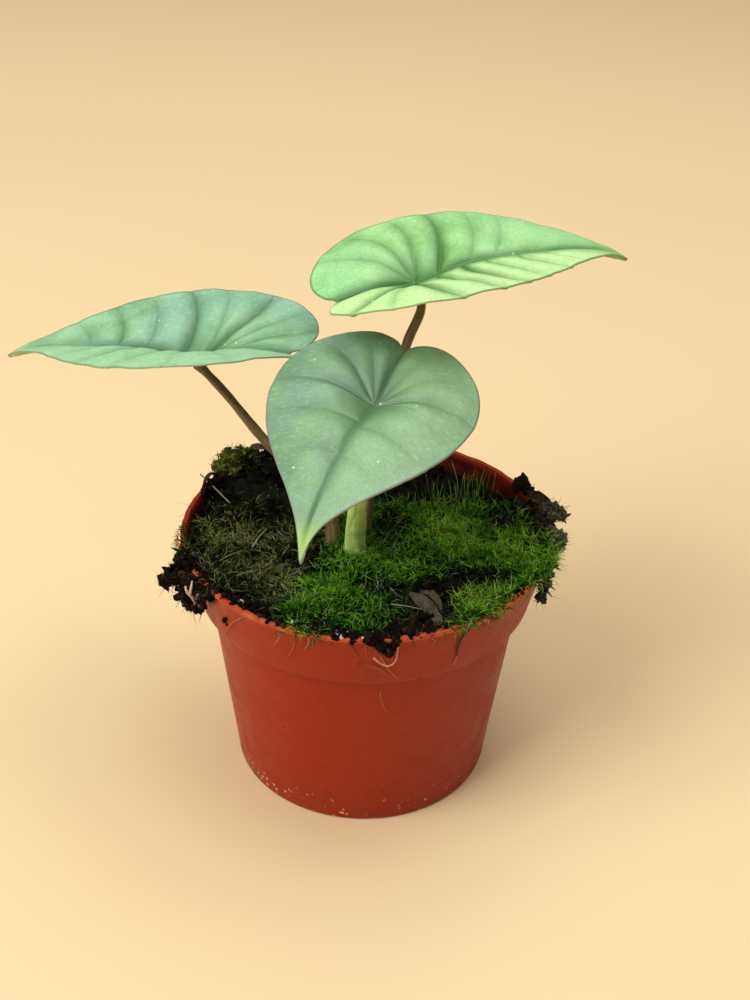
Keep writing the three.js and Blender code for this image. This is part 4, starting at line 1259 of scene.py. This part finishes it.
def blade_half(blade, veins, rays, side):
    """Grid of one half: its points, values for them, and its faces."""
    out = (np.arange(BLADE_RINGS + 1) / BLADE_RINGS) ** 0.9
    edge_u, edge_v = outline(rays / VEINS_PER_SIDE, blade, side)
    foot_u = VEIN_SPREAD * np.maximum(edge_u - VEIN_START, 0)
    chord = np.hypot(edge_u - foot_u, edge_v)[:, None]
    bow = blade["bow"][side] * chord * 4 * out * (1 - out)
    u = foot_u[:, None] + (edge_u - foot_u)[:, None] * out - bow
    v = edge_v[:, None] * out
    size = blade["length"]
    gap = np.hypot(np.gradient(u, rays, axis=0), np.gradient(v, rays, axis=0)) * size
    spine = v * size
    fading = np.sqrt(np.clip(1.15 - out, 0, 1))
    soft = 1 - 0.6 * np.clip((u - 0.12) / 0.3, 0, 1)
    # Vein line, painted shade in its trough, and ridge, first of the midrib and then of each side vein
    line, trough_shade, ridge = (bell(spine, width) for width in (0.3, 2.2, 0.6))
    puffed = np.ones_like(u)
    for place, strength in veins:
        sectors = np.abs(rays - place)[:, None]
        line, trough_shade, ridge = (
            np.maximum(grid, strength * fading * bell(sectors * gap, width))
            for grid, width in ((line, 0.24), (trough_shade, 1.9), (ridge, 0.55))
        )
        puffed = puffed * (1 - strength * bell(sectors, VEIN_TROUGH))
    puff = puffed * np.sin(math.pi * out**0.8)
    flat = np.stack([u * size, (v if side == 0 else -v) * size, np.zeros_like(u)], axis=-1).reshape(-1, 3)
    quilted = (0.24 * smooth_noise(flat, 6, 51) + 0.12 * smooth_noise(flat, 2.6, 52)).reshape(u.shape)
    roomy = np.clip(gap / 6, 0, 1)
    raised = PUFF * roomy * soft * puff - VEIN_DEPTH * ridge + quilted * roomy * np.clip(spine / 2, 0, 1)
    values = {
        "leaf_ray": np.repeat(rays[:, None], len(out), 1) + side * 20,
        "leaf_out": np.repeat(out[None], len(rays), 0),
        "leaf_line": line * soft,
        "leaf_trough_shade": trough_shade * soft,
        "leaf_puff": puff,
        "leaf_hub": np.hypot(u, v) * size,
        "leaf_along": u,
        "leaf_rim": (1 - out) * chord * size,
        "leaf_lit_share": float(side == blade["sunny"]) * np.clip(spine / 3, 0, 1),
        "leaf_ridge": ridge * VEIN_DEPTH,
    }
    points = blade_points(blade, u, v, side, raised).reshape(-1, 3)
    return points, {key: grid.ravel() for key, grid in values.items()}, ring_faces(*u.shape, close=False)


def welded(points, faces):
    """Joins points that lie in one place and drops the faces that collapse."""
    _, first, where = np.unique(np.round(points, 3), axis=0, return_index=True, return_inverse=True)
    faces = where.ravel()[faces]
    kept = (faces[:, 0] != faces[:, 1]) & (faces[:, 1] != faces[:, 2]) & (faces[:, 2] != faces[:, 0])
    return first, faces[kept]


def normals_of(points, faces):
    a, b, c = (points[faces[:, k]] for k in range(3))
    flat = np.cross(b - a, c - a)
    total = np.zeros_like(points)
    for k in range(3):
        np.add.at(total, faces[:, k], flat)
    return unit(total)


def closed_sheet(faces, count):
    """Faces of a sheet, of its back, whose points follow its own, and of the rim that joins the two."""
    edges = np.vstack([faces[:, [0, 1]], faces[:, [1, 2]], faces[:, [2, 0]]])
    # A directed edge is open where no face has it the other way round
    open_ones = edges[~np.isin(edges @ (count, 1), edges @ (1, count))]
    start, end = open_ones.T
    below = start + count
    rim = [np.column_stack([end, start, below]), np.column_stack([end, below, end + count])]
    return np.vstack([faces, faces[:, ::-1] + count, *rim])


def blade(name):
    pose = BLADES[name]
    halves = [blade_half(pose, VEINS[name][side], blade_rays(name), side) for side in (0, 1)]
    points = np.vstack([half[0] for half in halves])
    values = {key: np.concatenate([half[1][key] for half in halves]) for key in halves[0][1]}
    quads = np.vstack([halves[0][2][:, ::-1], halves[1][2] + len(halves[0][0])])
    first, faces = welded(points, split_quads(quads))
    points = points[first]
    values = {key: numbers[first] for key, numbers in values.items()}
    normals = normals_of(points, faces)
    if normals[:, 2].mean() < 0:
        faces = faces[:, ::-1]
        normals = -normals
    inward = np.clip(values["leaf_rim"] / 3, 0, 1)
    thickness = MARGIN_THICKNESS + (BLADE_THICKNESS - MARGIN_THICKNESS) * inward + values.pop("leaf_ridge")
    everything = np.vstack([points, points - normals * thickness[:, None]])
    values = {key: np.tile(numbers, 2) for key, numbers in values.items()}
    values["leaf_under"] = np.repeat([0.0, 1.0], len(points))
    mesh = make_mesh(f"blade_{name}_fine", everything, closed_sheet(faces, len(points)), values)
    add_piece(mesh, leaf_material(name), [f"blade_{name}"])


# Petioles

def petiole(name, material, slot):
    heap = Heap()
    shape = PETIOLES[name]
    tip = np.array(BLADES[name]["junction"]) - (0, 0, 1)
    rings, sides = 90, 28
    path = smooth_path([*shape["points"], tuple(tip)], rings)
    share = np.linspace(0, 1, rings)
    radii = np.interp(share, np.linspace(0, 1, len(shape["radii"])), shape["radii"])
    radii = radii * (1 + 0.03 * np.sin(share * 31) + 0.02 * np.sin(share * 77 + 2))
    radii += 0.5 * bell(1 - share, 0.035)
    around = np.tile(np.arange(sides) / sides, rings)
    heap.add(*tube(path, radii, sides), around, np.repeat(share, sides))
    if name == "front":
        scrap(heap, SHEATH_POINTS, (2.1, 2, 1.7, 1, 0.3), (1, 0.3, 0), 0.9, 0.25, 0.6, 0.04)
    heap.piece(f"petiole_{name}_fine", material, slot, [f"petiole_{name}"])


# Moss

def moss_side(x, y):
    """Side of the line between the lush and the dry moss, positive on the lush side."""
    return (x - MOSS_SPLIT["x"]) * MOSS_SPLIT["across"] + (y - MOSS_SPLIT["y"]) * MOSS_SPLIT["along"]


def lush_region(x, y):
    rim = MOSS_EDGE - np.hypot(x, y)
    for depth, *place in MOSS_BAYS:
        rim = rim - depth * bump(x, y, *place)
    back = LUSH_BACK["y"] - y - LUSH_BACK["curve"] * (x - LUSH_BACK["x"]) ** 2
    return np.minimum(np.minimum(rim, back), moss_side(x, y) - SPLIT_MARGIN)


def dry_region(x, y):
    rim = MOSS_EDGE - DRY_MARGIN - np.hypot(x, y)
    return np.minimum(np.minimum(rim, DRY_BACK - y), -moss_side(x, y) - SPLIT_MARGIN)


def sheet(name, region, material, slot, node):
    """A bumpy closed sheet of moss over the soil where the region is positive."""
    reach = int(MOSS_EDGE / SHEET_SPACING) + 2
    row, column = np.mgrid[-reach : reach + 1, -reach : reach + 1]
    x, y = column * SHEET_SPACING, row * SHEET_SPACING
    flat = np.stack([x, y, soil_height(x, y) + SHEET_LIFT], axis=-1).reshape(-1, 3)
    flat[:, 2] += SHEET_BUMPS * np.abs(rough_noise(flat, 3.4, 8, 3))
    quads = ring_faces(*x.shape, close=False)
    keep = (region(flat[:, 0], flat[:, 1]) > 0)[quads].all(axis=1)
    faces = split_quads(quads[keep])[:, ::-1]
    used, faces = np.unique(faces, return_inverse=True)
    faces = faces.reshape(-1, 3)
    top = flat[used]
    if normals_of(top, faces)[:, 2].mean() < 0:
        faces = faces[:, ::-1]
    # The back lies deep in the soil
    low = top * (0.93, 0.93, 0) + (0, 0, SOIL_LEVEL - SHEET_DEPTH)
    heap = Heap()
    # The sheet's low tone and tip value colour it near black, as painted shade deep under the strands
    heap.add(np.vstack([top, low]), closed_sheet(faces, len(top)), 0.1, 0.22)
    heap.piece(name, material, slot, [node])


def glow(x, y, spots):
    """Sum of bright and dark spots: gain, place and width of each."""
    return sum((gain * bump(x, y, *place) for gain, *place in spots), np.zeros_like(x))


def ground(x, y):
    """Height that moss stands on: the soil, or the rim where it spreads over it."""
    on_rim = np.hypot(x, y) > RIM_RADIUS - LIP_WIDTH
    return np.where(on_rim, POT_HEIGHT - MOSS_SINK, soil_height(x, y) + MOSS_LIFT)


def tufts(name, seed, centres, per, spots, look, material, slot):
    """Moss in tufts: strands that fan out from each centre, every tuft with its own height and colour."""
    random = np.random.default_rng(seed)
    count = len(centres) * per
    light = look["tone"] + glow(*centres.T, spots) + random.normal(0, look["patchy"], len(centres))
    tall = 1 + 0.45 * (light - look["tone"]) + random.normal(0, 0.2, len(centres))
    offset = random.normal(0, 1, (count, 2)) * look["girth"]
    places = np.repeat(centres, per, axis=0) + offset
    places *= np.minimum(1, look["edge"] / np.hypot(*places.T))[:, None]
    mound = np.repeat(random.uniform(0, look["mound"], len(centres)), per)
    feet = np.column_stack([places, ground(*places.T) + mound * np.exp(-(offset**2).sum(1) / 2)])
    fan_out = np.column_stack([offset / look["girth"] * look["fan"], np.ones(count)])
    ahead = unit(fan_out + random.normal(0, look["stray"], (count, 3)))
    ahead[:, 2] = np.maximum(ahead[:, 2], 0.05)
    lengths = random.uniform(*look["length"], count) * np.repeat(np.clip(tall, 0.5, 1.6), per)
    widths = random.uniform(*look["width"], count)
    sway = random.normal(0, 0.5, (count, 2))
    bend = np.column_stack([sway, -random.uniform(0.1, 1, count)]) * look["sag"]
    tones = np.clip(np.repeat(light, per) + random.normal(0, look["mixed"], count), 0, 0.97)
    tones[random.uniform(0, 1, count) < look["dead"]] = 1
    heap = Heap()
    strands(heap, feet, ahead, lengths, widths, bend, tones, look["rings"], look["curl"], random)
    heap.piece(name, material, slot)


def centres_in(seed, count, region, spots, threshold=0.0, least=0.04):
    """Tuft centres in a region, fewer where the spots are dark."""
    random = np.random.default_rng(seed)
    places = scattered(random, count * 4, lambda x, y: region(x, y) > threshold)
    chance = np.clip(0.6 + 1.8 * glow(*places.T, spots), least, 1)
    return places[random.uniform(0, 1, len(places)) < chance][:count]


def rim_places(rows):
    """Tuft centres on the rim, each row between two bearings and two distances."""
    places = []
    for seed, bearings, distances, count in rows:
        random = np.random.default_rng(seed)
        spots = polar(random.uniform(*bearings, count), random.uniform(*distances, count))
        places.append(np.column_stack(spots))
    return np.vstack(places)


def moss():
    lush = fibre_material("lush_moss", LUSH_STOPS), "lush_moss"
    dry = fibre_material("dry_moss", DRY_STOPS), "dry_moss"
    sheet("moss_lush_mat", lush_region, *lush, "moss_lush")
    sheet("moss_dry_mat", dry_region, *dry, "moss_dry")
    gaps = [(-gain, *place) for gain, *place in LUSH_SPOTS]
    # Seed, tuft centres, strands in each, light and dark spots, look, and material with its slot
    for name, *rest in (
        ("lush_tufts", 1, centres_in(21, 440, lush_region, LUSH_SPOTS, 0.6), 30,
         LUSH_SPOTS, LUSH_LOOK, *lush),
        ("lush_low", 2, centres_in(22, 470, lush_region, LUSH_SPOTS), 24, LUSH_SPOTS, LOW_LOOK, *lush),
        ("lush_threads", 5, centres_in(23, 90, lush_region, gaps), 12, LUSH_SPOTS, THREAD_LOOK, *lush),
        ("dry_tufts", 3, centres_in(24, 480, dry_region, DRY_SPOTS, 0, 0.4), 28,
         DRY_SPOTS, DRY_LOOK, *dry),
        ("dry_threads", 6, centres_in(25, 110, dry_region, DRY_SPOTS), 12,
         DRY_SPOTS, DRY_THREAD_LOOK, *dry),
        ("crown", 9, np.array(CROWN_TUFTS), 40, LUSH_SPOTS, CROWN_LOOK, *lush),
        ("over_rim", 7, rim_places(LUSH_RIM), 40, RIM_SPOTS, RIM_LOOK, *lush),
        ("over_rim_left", 10, rim_places(DRY_RIM), 30, [], DRY_RIM_LOOK, *dry),
        ("stalks", 8, np.array(STALK_TUFTS), 12, STALK_SPOTS, STALK_LOOK, *lush),
    ):
        tufts(f"moss_{name}", *rest)


# Floor, lights and camera

def stage():
    bpy.ops.mesh.primitive_plane_add(size=8)
    floor = bpy.context.object
    floor.name = "floor"
    s = Shading("pale_floor", roughness=0.8, specular=0.2)
    s.colour(s.mix(s.noise(300, 2), "#ecd2a4", "#f0d9ae"))
    floor.data.materials.append(s.material)
    world = bpy.data.worlds.new("studio")
    bpy.context.scene.world = world
    world.use_nodes = True
    backdrop = world.node_tree.nodes["Background"]
    backdrop.inputs["Color"].default_value = (*linear("#f3e7d2"), 1)
    backdrop.inputs["Strength"].default_value = 0.3
    for light in LAMPS:
        lamp(*light)


def lamp(name, place, size, power, tint):
    """A square soft light at a place in millimetres that faces the plant."""
    light = bpy.data.lights.new(name, "AREA")
    light.size = size * MM
    light.energy = power
    light.color = tint
    holder = bpy.data.objects.new(name, light)
    bpy.context.scene.collection.objects.link(holder)
    spot = np.array(place, float)
    back = unit(spot - (0, 0, 70))
    side = unit(np.cross((0, 0, 1), back))
    turn = Matrix(np.column_stack([side, np.cross(back, side), back]).tolist()).to_4x4()
    holder.matrix_world = Matrix.Translation((spot * MM).tolist()) @ turn


def camera():
    data = bpy.data.cameras.new("camera")
    data.lens = LENS
    data.sensor_width = SENSOR
    holder = bpy.data.objects.new("camera", data)
    bpy.context.scene.collection.objects.link(holder)
    turn = Matrix.Rotation(math.radians(CAMERA_TURN), 4, "Z")
    turn = turn @ Matrix.Rotation(math.radians(90 + CAMERA_PITCH), 4, "X")
    turn = turn @ Matrix.Rotation(math.radians(CAMERA_ROLL), 4, "Z")
    holder.matrix_world = Matrix.Translation([c * MM for c in CAMERA_PLACE]) @ turn
    bpy.context.scene.camera = holder


camera()
pot()
soil()
rootlets()
right_rim()
litter()
back_tuft()
rootstock()
for blade_name in BLADES:
    blade(blade_name)
petiole("front", petiole_material("green_petiole", "#e4ff9c", "#c6ea76", "#a6c85c"), "green_petiole")
brown = petiole_material("brown_petiole", "#8a7a52", "#5f4d34", "#43331f")
petiole("left", brown, "brown_petiole")
petiole("right", brown, "brown_petiole")
moss()
stage()
bpy.context.scene.view_settings.view_transform = "Standard"
